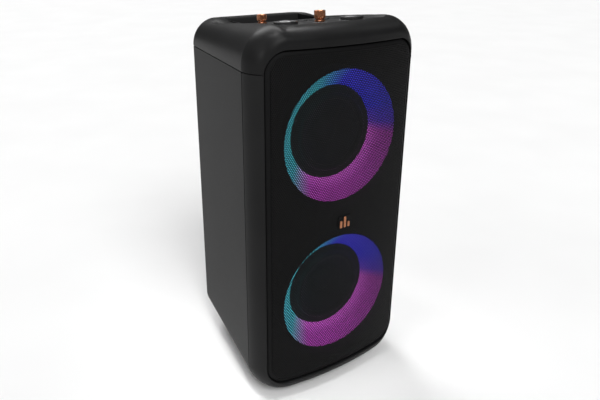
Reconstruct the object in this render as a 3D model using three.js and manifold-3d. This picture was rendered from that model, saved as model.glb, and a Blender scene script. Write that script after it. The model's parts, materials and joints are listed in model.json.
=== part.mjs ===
// Party speaker: a tapered moulded cabinet with a bowed front, two lit woofers behind a rolled grille,
// and a sunken control deck with a carry handle on top.
// Millimetres. +X is the right side seen from the front, the front faces -Y, +Z is up.
// The origin is on the floor, under the middle of the speaker.
import * as THREE from "three";
import { mergeVertices } from "three/addons/utils/BufferGeometryUtils.js";
import Module from "manifold-3d";

const wasm = await Module();
wasm.setup();

// ---- Driving dimensions ----
const HALF_DEPTH = 132.3;
const FRONT = { halfWidth: 139, top: 577, bottom: 6, corner: 52 };
const BACK = { halfWidth: 110, top: 558, bottom: 26, corner: 39 };
const FRONT_BOW = 18.5; // how far the middle of the front stands ahead of its sides
const LIP_INSET = 22; // the rounded front edge, across the face
const LIP_DEPTH = 32; // the same edge, measured front to back
const LIP_EDGE_Y = -112.5; // front face at the sides, before the bow is added
const BACK_ROUND = 5;
const WALL = 4.5;
const GAP = 0.3; // between pieces that touch on the real speaker
const SEAM = 1; // open shadow gap between outer covers
const CAP_SEAM_Z = 517; // below the top housing
const SIDE_SEAM_Y = -81; // behind the front bezel

// Sunken deck between the two cheeks of the top housing
const DECK_DROP = 6.5;
const DECK_FLAT_HALF = 88;
const DECK_RIM_HALF = 100;
const DECK_FADE = { from: 60, to: 104 };
const DECK_START_Y = -74; // the front lip stands above the deck and falls to it by here
const LIP_DISH = 0.5; // share of the drop that the top of the lip already has
const PANEL = { halfWidth: 86, front: -86, back: 12, corner: 12, thick: 3, ledge: 5 };

// Hand-grip pocket and bar
const POCKET = { halfWidth: 70, front: 25, back: 123, floor: 503, wall: 3, corner: 12 };
const BAR = { front: 102, bottom: 534, round: 7 };

// Front opening and grille
const APERTURE = { halfWidth: 124.5, bottom: 29, top: 547, corner: 30 };
const GRILLE = { gap: 1, front: -129.5, bow: 18, thick: 1.5 };
const BADGE = { width: 23, height: 20, thick: 2.5, bars: 3 };

// Drivers and their light rings: depths run back from the ring plane
const RING_PLANE_Y = -117.6;
const DRIVER_Z = { lower: 160.4, upper: 415.7 };
const RING = { outer: 98.5, inner: 70, depth: 27, skirt: 29.7, thick: 2 };
const LED_BOARD = { inner: 75, outer: 95, front: 27.8, thick: 1.6, leds: 12, ledSize: 5 };
const BAFFLE = { front: 30, thick: 10, halfWidth: 133, bottom: 12, top: 536, corner: 46, hole: 61.5 };
const TWEETER = { z: 288, face: 26, body: 20, hole: 21, back: 55, dome: 9, domeFront: 24.5, bead: 14 };
const FLANGE = { inner: 60, outer: 69.3, front: 26.8, back: 29.7 };
const BOWL = { radius: 60.4, straight: 42, wall: 3.4, narrow: 40, front: 76, back: 79, bore: 22 };
const WINDOW = { height: 30, depth: 24, middle: 58, hub: 34 };
const SURROUND = { middle: 54, roll: 4.6, thick: 1, plane: 25.5, outer: 66 };
const DUST_CAP = { radius: 21, front: 35, rim: 43, thick: 1 };
const SPIDER = { outer: 35, front: 68, thick: 1, clearance: 0.6 };
const CONE = { outer: 48.3, front: 26.5, neck: 18, neckDepth: 46, thick: 1.5, former: 16.2, formerEnd: 84 };
const MAGNET = { radius: 38, front: 79.4, back: 100, grooveIn: 14.4, grooveOut: 17.2, grooveEnd: 93, pole: 66 };

// Top controls, laid out on the deck
const KNOBS = {
  volume_knob: { x: -6, y: -66, radius: 8, height: 15.5, kind: "copper" },
  gain_knob: { x: -72, y: -21, radius: 7, height: 13, kind: "copper" },
  bass_dial: { x: -62, y: -66, radius: 16.5, height: 5.5, kind: "dial" },
  treble_dial: { x: 50, y: -66, radius: 16.5, height: 5.5, kind: "dial" },
};
const KNOB_LIFT = 0.8; // clear of the deck
const KNOB_BEVEL = 1.2;
const SHAFT = { radius: 3, clearance: 0.6, grip: 0.5 };
const ENCODER = { size: 13, height: 7, below: 4, socket: 2 };
const BUTTON = { width: 13, length: 8, proud: 1.2, pitch: 20, y: -14, stem: 5, stemRadius: 1.5 };
const BUTTON_NAMES = ["power", "pairing", "lights", "mode", "link"];
const CONTROL_BOARD = { halfWidth: 84, front: -76, back: 6, below: 11.6, thick: 1.6 };

// Rear side
const REAR_PANEL = { halfWidth: 84, bottom: 60, top: 488, corner: 18, front: 126.3, back: 129.8 };
const REAR_LEDGE = { reach: 7, thick: 4 };
const IO_PANEL = { halfWidth: 66, bottom: 196, top: 292, corner: 8, lip: 6, front: 123.4, back: 126 };
const PORT = { z: 415, bore: 27, outer: 30, flange: 38, inner: 34, length: 90, flare: 8 };
const SOCKET_Z = 244;
const JACKS = {
  mic_socket: { x: -42, opening: 6.5, body: 9, neck: 6.2, hole: 3.3, deep: 26 },
  aux_socket: { x: -18, opening: 4.5, body: 6.5, neck: 4.2, hole: 1.8, deep: 16 },
};
const USB = { x: 6, width: 13, height: 6.5, wall: 1.5, depth: 16, tongue: 1.2, tongueLift: 2.2 };
const MAINS = { x: 40, width: 26, height: 18, depth: 22, mouthWidth: 17, mouthHeight: 8.5, pin: 1.2, pinX: 4.3 };
const SCREW = { x: 74, low: 70, high: 478, head: 4, headThick: 1.6, shank: 1.7, length: 6.5, hole: 2.1, slot: 5 };
const FEET = {
  foot_front_left: { x: -66, y: -68 },
  foot_front_right: { x: 66, y: -68 },
  foot_rear_left: { x: -40, y: 92 },
  foot_rear_right: { x: 40, y: 92 },
};
const FOOT_RADIUS = { base: 13, top: 15 };

const FILLET_END_Y = LIP_EDGE_Y + LIP_DEPTH;
const TAPER_LENGTH = HALF_DEPTH - FILLET_END_Y;
const TOP_SLOPE = (FRONT.top - BACK.top) / TAPER_LENGTH;
const DECK_TILT = -Math.atan(TOP_SLOPE);
const BIG = 400;
const FINE = 24; // sides of the large turned pieces
const COARSE = 12; // sides of the small ones

// ---- Materials ----
const finish = (color, roughness, metalness = 0) =>
  new THREE.MeshStandardMaterial({ color, roughness, metalness });
const MATERIALS = {
  side: finish(0x35353a, 0.55),
  bezel: finish(0x1d1d20, 0.4),
  housing: finish(0x28282b, 0.45),
  deck: finish(0x222225, 0.5),
  grip: finish(0x141416, 0.8),
  grille: finish(0x131315, 0.5, 0.4),
  copper: finish(0xb5613a, 0.3, 0.9),
  dial: finish(0x17171a, 0.5),
  light: finish(0xa78bff, 0.6),
  board: finish(0x14532d, 0.6),
  baffle: finish(0x101012, 0.7),
  basket: finish(0x1b1b1d, 0.5, 0.6),
  rubber: finish(0x0f0f10, 0.9),
  cone: finish(0x1c1b1e, 0.7),
  magnet: finish(0x8d9095, 0.35, 0.9),
  alloy: finish(0xb8bcc2, 0.35, 0.9),
  cell: finish(0x2b4a6f, 0.6),
  socket: finish(0x0c0c0e, 0.5),
  screw: finish(0x3a3a3d, 0.4, 0.8),
};

// ---- Solid helpers ----
function solid(geometry) {
  const bare = geometry.clone();
  bare.deleteAttribute("normal");
  bare.deleteAttribute("uv");
  const merged = mergeVertices(bare, 1e-4);
  const corners = new Uint32Array(merged.index.array);
  const build = () =>
    new wasm.Manifold(
      new wasm.Mesh({
        numProp: 3,
        vertProperties: merged.attributes.position.array,
        triVerts: corners,
      }),
    );
  const body = build();
  if (body.volume() > 0) return body;
  for (let i = 0; i < corners.length; i += 3) {
    [corners[i + 1], corners[i + 2]] = [corners[i + 2], corners[i + 1]];
  }
  return build();
}

function geometryOf(body) {
  const { vertProperties, triVerts } = body.getMesh();
  const geometry = new THREE.BufferGeometry();
  geometry.setAttribute("position", new THREE.BufferAttribute(vertProperties, 3));
  geometry.setIndex(new THREE.BufferAttribute(triVerts, 1));
  geometry.computeVertexNormals();
  return geometry;
}

const union = (bodies) => bodies.reduce((sum, body) => sum.add(body));
const box = (width, depth, height, x, y, z) =>
  solid(new THREE.BoxGeometry(width, depth, height).translate(x, y, z));
const boxBetween = (low, high) =>
  box(
    ...high.map((value, axis) => value - low[axis]),
    ...high.map((value, axis) => (value + low[axis]) / 2),
  );

// Ring or disc turned about the Y axis; points are [radius, y] and close on themselves.
function turned(points, segments = FINE) {
  const profile = points.map(([radius, y]) => new THREE.Vector2(radius, y));
  const onAxis = points[0][0] === 0 && points.at(-1)[0] === 0;
  if (!onAxis) profile.push(profile[0].clone());
  return solid(new THREE.LatheGeometry(profile, segments));
}

// Round bar along Z, from z to z + height.
const post = (radius, height, z = 0, segments = COARSE, topRadius = radius) =>
  solid(
    new THREE.CylinderGeometry(topRadius, radius, height, segments)
      .rotateX(Math.PI / 2)
      .translate(0, 0, z + height / 2),
  );

function roundedRectangle(x0, y0, x1, y1, radius) {
  const shape = new THREE.Shape();
  shape.moveTo(x0 + radius, y0);
  shape.lineTo(x1 - radius, y0);
  shape.absarc(x1 - radius, y0 + radius, radius, -Math.PI / 2, 0);
  shape.lineTo(x1, y1 - radius);
  shape.absarc(x1 - radius, y1 - radius, radius, 0, Math.PI / 2);
  shape.lineTo(x0 + radius, y1);
  shape.absarc(x0 + radius, y1 - radius, radius, Math.PI / 2, Math.PI);
  shape.lineTo(x0, y0 + radius);
  shape.absarc(x0 + radius, y0 + radius, radius, Math.PI, 1.5 * Math.PI);
  return shape;
}

// Rounded rectangle in the XZ plane, filled from yFront to yBack.
function facePlate({ halfWidth, bottom, top, corner }, yFront, yBack, grow = 0) {
  const shape = roundedRectangle(
    -halfWidth - grow,
    bottom - grow,
    halfWidth + grow,
    top + grow,
    corner + grow,
  );
  const geometry = new THREE.ExtrudeGeometry(shape, {
    depth: yBack - yFront,
    bevelEnabled: false,
    curveSegments: 5,
  });
  return solid(geometry.rotateX(Math.PI / 2).translate(0, yBack, 0));
}

// Rounded rectangle in the XY plane, filled from zLow to zHigh.
function floorPlate({ halfWidth, front, back, corner }, zLow, zHigh, grow = 0) {
  const shape = roundedRectangle(
    -halfWidth - grow,
    front - grow,
    halfWidth + grow,
    back + grow,
    corner + grow,
  );
  const geometry = new THREE.ExtrudeGeometry(shape, {
    depth: zHigh - zLow,
    bevelEnabled: false,
    curveSegments: 4,
  });
  return solid(geometry.translate(0, 0, zLow));
}

const root = new THREE.Group();
function place(name, body, material, parent = root) {
  const mesh = new THREE.Mesh(geometryOf(body), MATERIALS[material]);
  mesh.name = name;
  parent.add(mesh);
  return mesh;
}

// ---- Cabinet form ----
const ramp = (value, from, to) => THREE.MathUtils.smoothstep(value, from, to);
const mix = THREE.MathUtils.lerp;
const backShare = (y) => THREE.MathUtils.clamp((y - FILLET_END_Y) / TAPER_LENGTH, 0, 1);
const topAt = (y) => mix(FRONT.top, BACK.top, backShare(y));
const bottomAt = (y) => mix(FRONT.bottom, BACK.bottom, backShare(y));
const deckDrop = (x, y) =>
  DECK_DROP *
  (1 - ramp(Math.abs(x), DECK_FLAT_HALF, DECK_RIM_HALF)) *
  (1 - ramp(y, DECK_FADE.from, DECK_FADE.to));

// One outline of the cabinet at depth y: top half from +X to -X, then the bottom half back again.
function outline({ y, inset, bow, dish }) {
  const share = backShare(y);
  const halfWidth = mix(FRONT.halfWidth, BACK.halfWidth, share) - inset;
  const corner = Math.max(mix(FRONT.corner, BACK.corner, share) - inset, 6);
  const arcSteps = 6;
  const edgeSteps = 6;
  const half = [];
  for (let i = 0; i <= arcSteps; i++) {
    const angle = (i / arcSteps) * (Math.PI / 2);
    half.push([
      halfWidth - corner + corner * Math.cos(angle),
      corner - corner * Math.sin(angle),
    ]);
  }
  for (let i = 1; i < edgeSteps; i++) {
    half.push([(halfWidth - corner) * (1 - (2 * i) / edgeSteps), 0]);
  }
  for (let i = arcSteps; i >= 0; i--) {
    half.push([-half[i][0], half[i][1]]);
  }
  const bowedY = (x) => y - bow * (1 - (x / FRONT.halfWidth) ** 2);
  const upper = half.map(([x, drop]) => {
    const depth = bowedY(x);
    return [x, depth, topAt(depth) - inset - drop - dish * deckDrop(x, depth)];
  });
  const lower = half.map(([x, drop]) => [x, bowedY(x), bottomAt(bowedY(x)) + inset + drop]);
  return [...upper, ...lower.reverse()];
}

// Closed skin through outlines; the end caps are strips, so a bowed end stays smooth.
function loft(rings) {
  const count = rings[0].length;
  const last = (rings.length - 1) * count;
  const faces = [];
  for (let ring = 0; ring < rings.length - 1; ring++) {
    for (let i = 0; i < count; i++) {
      const a = ring * count + i;
      const b = ring * count + ((i + 1) % count);
      faces.push(a, a + count, b + count, a, b + count, b);
    }
  }
  for (let i = 0; i < count / 2 - 1; i++) {
    const j = count - 1 - i;
    faces.push(i, i + 1, j - 1, i, j - 1, j);
    faces.push(last + i, last + j - 1, last + i + 1, last + i, last + j, last + j - 1);
  }
  const geometry = new THREE.BufferGeometry();
  geometry.setAttribute("position", new THREE.Float32BufferAttribute(rings.flat(2), 3));
  geometry.setIndex(faces);
  return solid(geometry);
}

// The cabinet's outer form, or the space left inside walls of the given thickness.
function cabinetForm(wall = 0) {
  const rings = [];
  const lipSteps = 4;
  for (let i = 0; i <= lipSteps; i++) {
    const angle = (i / lipSteps) * (Math.PI / 2);
    rings.push({
      y: LIP_EDGE_Y + LIP_DEPTH * (1 - Math.cos(angle)) + wall * Math.cos(angle),
      inset: LIP_INSET * (1 - Math.sin(angle)) + wall * Math.sin(angle),
      bow: FRONT_BOW,
      dish: LIP_DISH * Math.sin(angle),
    });
  }
  for (const y of [DECK_START_Y, -30, 20, DECK_FADE.from, 75, 90, DECK_FADE.to]) {
    rings.push({ y, inset: wall, bow: FRONT_BOW * (1 - backShare(y)), dish: 1 });
  }
  const back = HALF_DEPTH - wall;
  const round = BACK_ROUND - wall / 2;
  for (const angle of [0, Math.PI / 4, Math.PI / 2]) {
    rings.push({
      y: back - round * (1 - Math.sin(angle)),
      inset: wall + round * (1 - Math.cos(angle)),
      bow: 0,
      dish: 0,
    });
  }
  return loft(rings.map(outline));
}

const outer = cabinetForm();
const hollow = cabinetForm(WALL);
const aperture = facePlate(APERTURE, -BIG, SIDE_SEAM_Y);
const skin = outer.subtract(hollow).subtract(aperture);

const aboveSeam = boxBetween([-BIG, -BIG, CAP_SEAM_Z + SEAM / 2], [BIG, BIG, 2 * BIG]);
const belowSeam = boxBetween([-BIG, -BIG, -BIG], [BIG, BIG, CAP_SEAM_Z - SEAM / 2]);
const bezelZone = boxBetween([-BIG, -BIG, -BIG], [BIG, SIDE_SEAM_Y - SEAM / 2, BIG * 2]);
const shellZone = boxBetween([-BIG, SIDE_SEAM_Y + SEAM / 2, -BIG], [BIG, BIG, BIG * 2]);

// ---- Outer covers ----
function buildFrontBezel() {
  place("front_bezel", skin.intersect(belowSeam).intersect(bezelZone), "bezel");
}

const screwPlaces = [
  ["screw_upper_left", -SCREW.x, SCREW.high],
  ["screw_upper_right", SCREW.x, SCREW.high],
  ["screw_lower_left", -SCREW.x, SCREW.low],
  ["screw_lower_right", SCREW.x, SCREW.low],
];
const alongY = (radius, yFront, yBack, x, z, segments = COARSE) =>
  turned(
    [
      [0, yFront],
      [radius, yFront],
      [radius, yBack],
      [0, yBack],
    ],
    segments,
  ).translate([x, 0, z]);
const screwHoles = (yFront, yBack) =>
  union(screwPlaces.map(([, x, z]) => alongY(SCREW.hole, yFront, yBack, x, z)));

function buildCabinetShell() {
  const { front } = REAR_PANEL;
  const { reach, thick } = REAR_LEDGE;
  const frame = facePlate(REAR_PANEL, front - thick, front - GAP, reach)
    .subtract(facePlate(REAR_PANEL, -BIG, BIG, -2 * reach));
  const opening = facePlate(REAR_PANEL, front - GAP, BIG, GAP);
  const bridge = facePlate(REAR_PANEL, front - thick, HALF_DEPTH - WALL / 2, reach)
    .subtract(facePlate(REAR_PANEL, -BIG, BIG, GAP));
  const shell = skin
    .intersect(belowSeam)
    .intersect(shellZone)
    .subtract(opening)
    .add(frame)
    .add(bridge)
    .subtract(screwHoles(front - BIG / 2, BIG));
  place("cabinet_shell", shell, "side");
}

function pocketVoid(yBack) {
  const { halfWidth, front, floor, corner } = POCKET;
  return floorPlate({ halfWidth, front, back: yBack, corner }, floor, 2 * BIG);
}

function buildTopHousing() {
  const { halfWidth, front, back, floor, wall, corner } = POCKET;
  const tub = floorPlate({ halfWidth, front, back, corner }, floor - wall, 2 * BIG, wall);
  const collar = boxBetween(
    [-halfWidth - wall, back, CAP_SEAM_Z + SEAM / 2],
    [halfWidth + wall, HALF_DEPTH - WALL / 2, 2 * BIG],
  );
  const inside = cabinetForm(WALL / 2);
  const deckCut = floorPlate(PANEL, 0, 2 * BIG, GAP)
    .subtract(outer.translate([0, 0, -PANEL.thick - GAP]));
  const body = skin
    .intersect(aboveSeam)
    .add(tub.add(collar).intersect(inside))
    .subtract(pocketVoid(back))
    .subtract(deckCut)
    .subtract(floorPlate(PANEL, 0, 2 * BIG, -PANEL.ledge));
  place("top_housing", body, "housing");
}

function buildCarryHandle() {
  const { halfWidth, back } = POCKET;
  const { front, bottom, round } = BAR;
  const depth = back - front - GAP;
  const shape = roundedRectangle(0, 0, depth, BIG, round);
  const bar = solid(
    new THREE.ExtrudeGeometry(shape, {
      depth: 2 * (halfWidth - GAP),
      bevelEnabled: false,
      curveSegments: 5,
    })
      .rotateX(Math.PI / 2)
      .rotateZ(Math.PI / 2)
      .translate(-halfWidth + GAP, front, bottom),
  );
  place("carry_handle", bar.intersect(outer).intersect(pocketVoid(back - GAP)), "grip");
}

// ---- Control deck: its own group lies flat on the sloping top ----
const deckOrigin = { y: KNOBS.volume_knob.y, z: topAt(KNOBS.volume_knob.y) - DECK_DROP };
const deck = new THREE.Group();
deck.position.set(0, deckOrigin.y, deckOrigin.z);
deck.rotation.x = DECK_TILT;
root.add(deck);
const deckTools = (body) =>
  body
    .rotate([THREE.MathUtils.radToDeg(DECK_TILT), 0, 0])
    .translate([0, deckOrigin.y, deckOrigin.z]);
const onDeck = (y) => (y - deckOrigin.y) / Math.cos(DECK_TILT);
const buttonX = (index) => (index - (BUTTON_NAMES.length - 1) / 2) * BUTTON.pitch;

function buildControlPanel() {
  const plate = floorPlate(PANEL, 0, 2 * BIG)
    .intersect(outer)
    .subtract(outer.translate([0, 0, -PANEL.thick]));
  const reach = 10 * PANEL.thick;
  const holes = Object.values(KNOBS).map(({ x, y }) =>
    post(SHAFT.radius + SHAFT.clearance, reach, -reach / 2).translate([x, onDeck(y), 0]),
  );
  BUTTON_NAMES.forEach((_, index) => {
    const { width, length, y } = BUTTON;
    holes.push(box(width + 2 * GAP, length + 2 * GAP, reach, buttonX(index), onDeck(y), 0));
  });
  place("control_panel", plate.subtract(deckTools(union(holes))), "deck");
}

function buildKnobs() {
  for (const [name, { x, y, radius, height, kind }] of Object.entries(KNOBS)) {
    const bevel = Math.min(KNOB_BEVEL, height / 6);
    const body = union([
      post(radius, height - bevel, KNOB_LIFT, FINE),
      post(radius, bevel, KNOB_LIFT + height - bevel, FINE, radius - bevel),
      post(SHAFT.radius, ENCODER.below + KNOB_LIFT + SHAFT.grip, -ENCODER.below),
    ]);
    const knob = place(name, body, kind, deck);
    knob.position.set(x, onDeck(y), 0);

    const { size, height: tall, below, socket } = ENCODER;
    const bore = post(SHAFT.radius + SHAFT.clearance, socket, -below - SHAFT.clearance);
    const can = box(size, size, tall, 0, 0, -below - tall / 2).subtract(bore);
    const encoder = place(name.replace(/_(knob|dial)$/, "_encoder"), can, "alloy", deck);
    encoder.position.set(x, onDeck(y), 0);
  }
}

function buildButtons() {
  const { width, length, proud, y, stem, stemRadius } = BUTTON;
  const { thick } = PANEL;
  BUTTON_NAMES.forEach((name, index) => {
    const key = box(width, length, thick + proud, 0, 0, (proud - thick) / 2);
    const body = key.add(post(stemRadius, stem, -thick - stem));
    const button = place(`${name}_button`, body, "dial", deck);
    button.position.set(buttonX(index), onDeck(y), 0);
  });
}

function buildControlBoard() {
  const { halfWidth, front, back, below, thick } = CONTROL_BOARD;
  const plate = boxBetween(
    [-halfWidth, onDeck(front), -below - thick],
    [halfWidth, onDeck(back), -below],
  );
  place("control_board", plate, "board", deck);
}

// ---- Grille and badge ----
function grillePan(offset) {
  const profile = [
    [0, 10],
    [0.6, 5.5],
    [2.2, 3],
    [5, 1.2],
    [9, 0.3],
    [14, 0],
  ];
  const { halfWidth, bottom, top, corner } = APERTURE;
  const steps = 5;
  const rings = profile.map(([inset, roll]) => {
    const shrink = GRILLE.gap + inset + offset;
    const w = halfWidth - shrink;
    const r = Math.max(corner - shrink, 10);
    const half = [];
    for (let i = 0; i <= steps; i++) {
      const angle = (i / steps) * (Math.PI / 2);
      half.push([w - r + r * Math.cos(angle), r - r * Math.sin(angle)]);
    }
    for (let i = 1; i < 6; i++) half.push([(w - r) * (1 - i / 3), 0]);
    for (let i = steps; i >= 0; i--) half.push([-half[i][0], half[i][1]]);
    const y = (x) => GRILLE.front + GRILLE.bow * (x / FRONT.halfWidth) ** 2 + roll + offset;
    const upper = half.map(([x, drop]) => [x, y(x), top - shrink - drop]);
    const lower = half.map(([x, drop]) => [x, y(x), bottom + shrink + drop]);
    return [...upper, ...lower.reverse()];
  });
  return rings.reverse();
}

function buildGrille() {
  const hollowRings = grillePan(GRILLE.thick);
  const mouth = hollowRings.at(-1).map(([x, y, z]) => [x, y + 10, z]);
  const body = loft(grillePan(0)).subtract(loft([...hollowRings, mouth]));
  place("front_grille", body, "grille");
}

function buildBadge() {
  const { width, height, thick, bars } = BADGE;
  const plateThick = thick / 2;
  const yBack = GRILLE.front - GAP;
  const parts = [box(width, plateThick, height, 0, yBack - plateThick / 2, TWEETER.z)];
  const pitch = width / (bars + 1);
  for (let i = 0; i < bars; i++) {
    const tall = height * [0.5, 0.8, 0.35][i];
    const x = (i - (bars - 1) / 2) * pitch;
    parts.push(
      box(pitch * 0.5, thick, tall, x, yBack - thick / 2, TWEETER.z - height * 0.42 + tall / 2),
    );
  }
  place("grille_badge", union(parts), "copper");
}

// ---- Drivers ----
function buildBaffle() {
  const front = RING_PLANE_Y + BAFFLE.front;
  const back = front + BAFFLE.thick;
  const holes = Object.values(DRIVER_Z).map((z) =>
    alongY(BAFFLE.hole, front - 1, back + 1, 0, z, FINE),
  );
  holes.push(alongY(TWEETER.hole, front - 1, back + 1, 0, TWEETER.z));
  place("front_baffle", facePlate(BAFFLE, front, back).subtract(union(holes)), "baffle");
}

// Each piece of a driver is turned about its axis; depths run back from the ring plane.
function lightRing() {
  const { outer: edge, inner, depth, skirt, thick } = RING;
  return turned([
    [edge - 1.2, 0],
    [inner, depth],
    [inner, skirt],
    [inner + thick, skirt],
    [inner + thick, depth + 0.6],
    [edge - thick, 2.6],
    [edge - thick, skirt],
    [edge, skirt],
    [edge, 0],
  ]);
}

function ledBoard() {
  const { inner, outer: edge, front, thick, leds, ledSize } = LED_BOARD;
  const board = turned([
    [inner, front],
    [edge, front],
    [edge, front + thick],
    [inner, front + thick],
  ]);
  const led = box(ledSize, 2, ledSize, edge - 7, front - 0.8, 0);
  const row = Array.from({ length: leds }, (_, i) => led.rotate([0, (i / leds) * 360, 0]));
  return union([board, ...row]);
}

function basket() {
  const { radius, straight, wall, narrow, front, back, bore } = BOWL;
  const bowl = turned([
    [FLANGE.outer, FLANGE.front],
    [FLANGE.outer, FLANGE.back],
    [radius, FLANGE.back],
    [radius, straight],
    [narrow, front],
    [narrow, back],
    [bore, back],
    [bore, front],
    [narrow - wall, front],
    [radius - wall, straight],
    [radius - wall, FLANGE.back + 1],
    [FLANGE.inner - 3, FLANGE.front],
  ]);
  const { height, depth, middle, hub } = WINDOW;
  const bar = box(2 * FLANGE.outer, depth, height, 0, middle, 0);
  const windows = bar.rotate([0, 45, 0]).add(bar.rotate([0, -45, 0]));
  const kept = alongY(hub, 0, BIG, 0, 0);
  return bowl.subtract(windows.subtract(kept));
}

function surround() {
  const { middle, roll, thick, plane, outer: edge } = SURROUND;
  const steps = 4;
  const halfRound = (radius, y, turn) => {
    const points = [];
    for (let i = 0; i <= steps; i++) {
      const angle = Math.abs(turn - i / steps) * Math.PI;
      points.push([middle - radius * Math.cos(angle), y - radius * Math.sin(angle)]);
    }
    return points;
  };
  return turned([
    [CONE.outer + 0.5, plane],
    ...halfRound(roll, plane, 0),
    [edge, plane],
    [edge, plane + thick],
    ...halfRound(roll - thick, plane + thick, 1),
    [CONE.outer + 0.5, plane + thick],
  ]);
}

function cone() {
  const { outer: edge, front, neck, neckDepth, thick, former, formerEnd } = CONE;
  return turned([
    [edge, front],
    [edge, front + thick],
    [neck, neckDepth + thick],
    [former, neckDepth + thick],
    [former, formerEnd],
    [former - 1, formerEnd],
    [former - 1, neckDepth],
    [neck, neckDepth],
  ]);
}

function dustCap() {
  const { radius, front, rim, thick } = DUST_CAP;
  const shares = [0, 1 / 3, 2 / 3, 1];
  const dome = shares.map((share) => [radius * share, front + (rim - front) * share ** 2]);
  const behind = dome.map(([r, y]) => [r, y + thick]);
  return turned([...dome, ...behind.reverse()]);
}

function spider() {
  const { outer: edge, front, thick, clearance } = SPIDER;
  return turned([
    [CONE.former + clearance, front],
    [edge, front],
    [edge, front + thick],
    [CONE.former + clearance, front + thick],
  ]);
}

function magnet() {
  const { radius, front, back, grooveIn, grooveOut, grooveEnd, pole } = MAGNET;
  return turned([
    [0, pole],
    [grooveIn, pole],
    [grooveIn, grooveEnd],
    [grooveOut, grooveEnd],
    [grooveOut, front],
    [radius, front],
    [radius, back],
    [0, back],
  ]);
}

function buildDriver(level) {
  const group = new THREE.Group();
  group.position.set(0, RING_PLANE_Y, DRIVER_Z[level]);
  root.add(group);
  const add = (name, body, material) => place(`${name}_${level}`, body, material, group);
  add("light_ring", lightRing(), "light");
  add("led_board", ledBoard(), "board");
  add("woofer_basket", basket(), "basket");
  add("surround", surround(), "rubber");
  add("cone", cone(), "cone");
  add("dust_cap", dustCap(), "rubber");
  add("spider", spider(), "cell");
  add("magnet", magnet(), "magnet");
}

function buildTweeter() {
  const { face, body: radius, back, dome, domeFront, bead } = TWEETER;
  const body = turned([
    [0, domeFront],
    [dome, domeFront + 2],
    [dome + 3, domeFront + 3.5],
    [bead, FLANGE.front],
    [face, FLANGE.front],
    [face, FLANGE.back],
    [radius, FLANGE.back],
    [radius, back],
    [0, back],
  ]);
  const mesh = place("tweeter", body, "basket");
  mesh.position.set(0, RING_PLANE_Y, TWEETER.z);
}

// ---- Rear side ----
function buildRearPanel() {
  const { front, back } = REAR_PANEL;
  const plate = facePlate(REAR_PANEL, front, back, -GAP)
    .subtract(alongY(PORT.outer + 0.5, front - 1, back + 1, 0, PORT.z, FINE))
    .subtract(facePlate(IO_PANEL, front - 1, back + 1, -IO_PANEL.lip))
    .subtract(screwHoles(front - 1, back + 1));
  place("rear_panel", plate, "bezel");
}

function buildPort() {
  const { bore, outer: tube, flange, inner, length, flare } = PORT;
  const face = REAR_PANEL.back + GAP;
  const mouth = HALF_DEPTH - 0.1;
  const body = turned([
    [bore, mouth - flare],
    [bore, mouth - length],
    [tube, mouth - length],
    [tube, face],
    [flange, face],
    [flange, mouth],
    [inner, mouth],
    [bore + 2, mouth - flare / 3],
  ]);
  place("bass_port", body, "socket").position.set(0, 0, PORT.z);
}

function buildIoPanel() {
  const { front, back } = IO_PANEL;
  const room = 5 * GAP;
  const slot = (x, width, height) => box(width + room, 20, height + room, x, back, SOCKET_Z);
  const openings = Object.values(JACKS).map(({ x, opening }) =>
    alongY(opening, front - 1, back + 1, x, SOCKET_Z),
  );
  openings.push(slot(USB.x, USB.width + 2 * USB.wall, USB.height + 2 * USB.wall));
  openings.push(slot(MAINS.x, MAINS.width, MAINS.height));
  const plate = facePlate(IO_PANEL, front, back - GAP).subtract(union(openings));
  place("io_panel", plate, "deck");
}

function buildJacks() {
  const { front, back } = IO_PANEL;
  const proud = 3;
  for (const [name, { x, body, neck, hole, deep }] of Object.entries(JACKS)) {
    const jack = turned(
      [
        [0, back - deep],
        [hole, back - deep],
        [hole, back + proud],
        [neck, back + proud],
        [neck, front - GAP],
        [body, front - GAP],
        [body, back - deep - 2],
        [0, back - deep - 2],
      ],
      COARSE,
    );
    place(name, jack, "socket").position.set(x, 0, SOCKET_Z);
  }
}

function buildUsbSocket() {
  const { x, width, height, wall, depth, tongue, tongueLift } = USB;
  const mouth = IO_PANEL.back + 1.5;
  const body = box(width + 2 * wall, depth, height + 2 * wall, x, mouth - depth / 2, SOCKET_Z)
    .subtract(box(width, depth - 2, height, x, mouth - depth / 2 + 1.5, SOCKET_Z))
    .add(box(width - 2, 9, tongue, x, mouth - 9.5, SOCKET_Z + tongueLift));
  place("usb_socket", body, "alloy");
}

function buildMainsInlet() {
  const { x, width, height, depth, mouthWidth, mouthHeight, pin, pinX } = MAINS;
  const mouth = IO_PANEL.back + 3;
  const floor = mouth - 16;
  const pins = [-pinX, pinX].map((dx) => alongY(pin, floor, mouth - 4, x + dx, SOCKET_Z));
  const body = box(width, depth, height, x, mouth - depth / 2, SOCKET_Z)
    .subtract(box(mouthWidth, 20, mouthHeight, x, floor + 11, SOCKET_Z))
    .add(union(pins));
  place("mains_inlet", body, "socket");
}

function buildScrews() {
  const { head, headThick, shank, length, slot } = SCREW;
  const under = REAR_PANEL.back + GAP;
  const face = under + headThick;
  for (const [name, x, z] of screwPlaces) {
    const body = alongY(head, under, face, x, z)
      .add(alongY(shank, under - length, under + 0.1, x, z))
      .subtract(box(slot, 1.2, 1, x, face, z))
      .subtract(box(1, 1.2, slot, x, face, z));
    place(name, body, "screw");
  }
}

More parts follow.
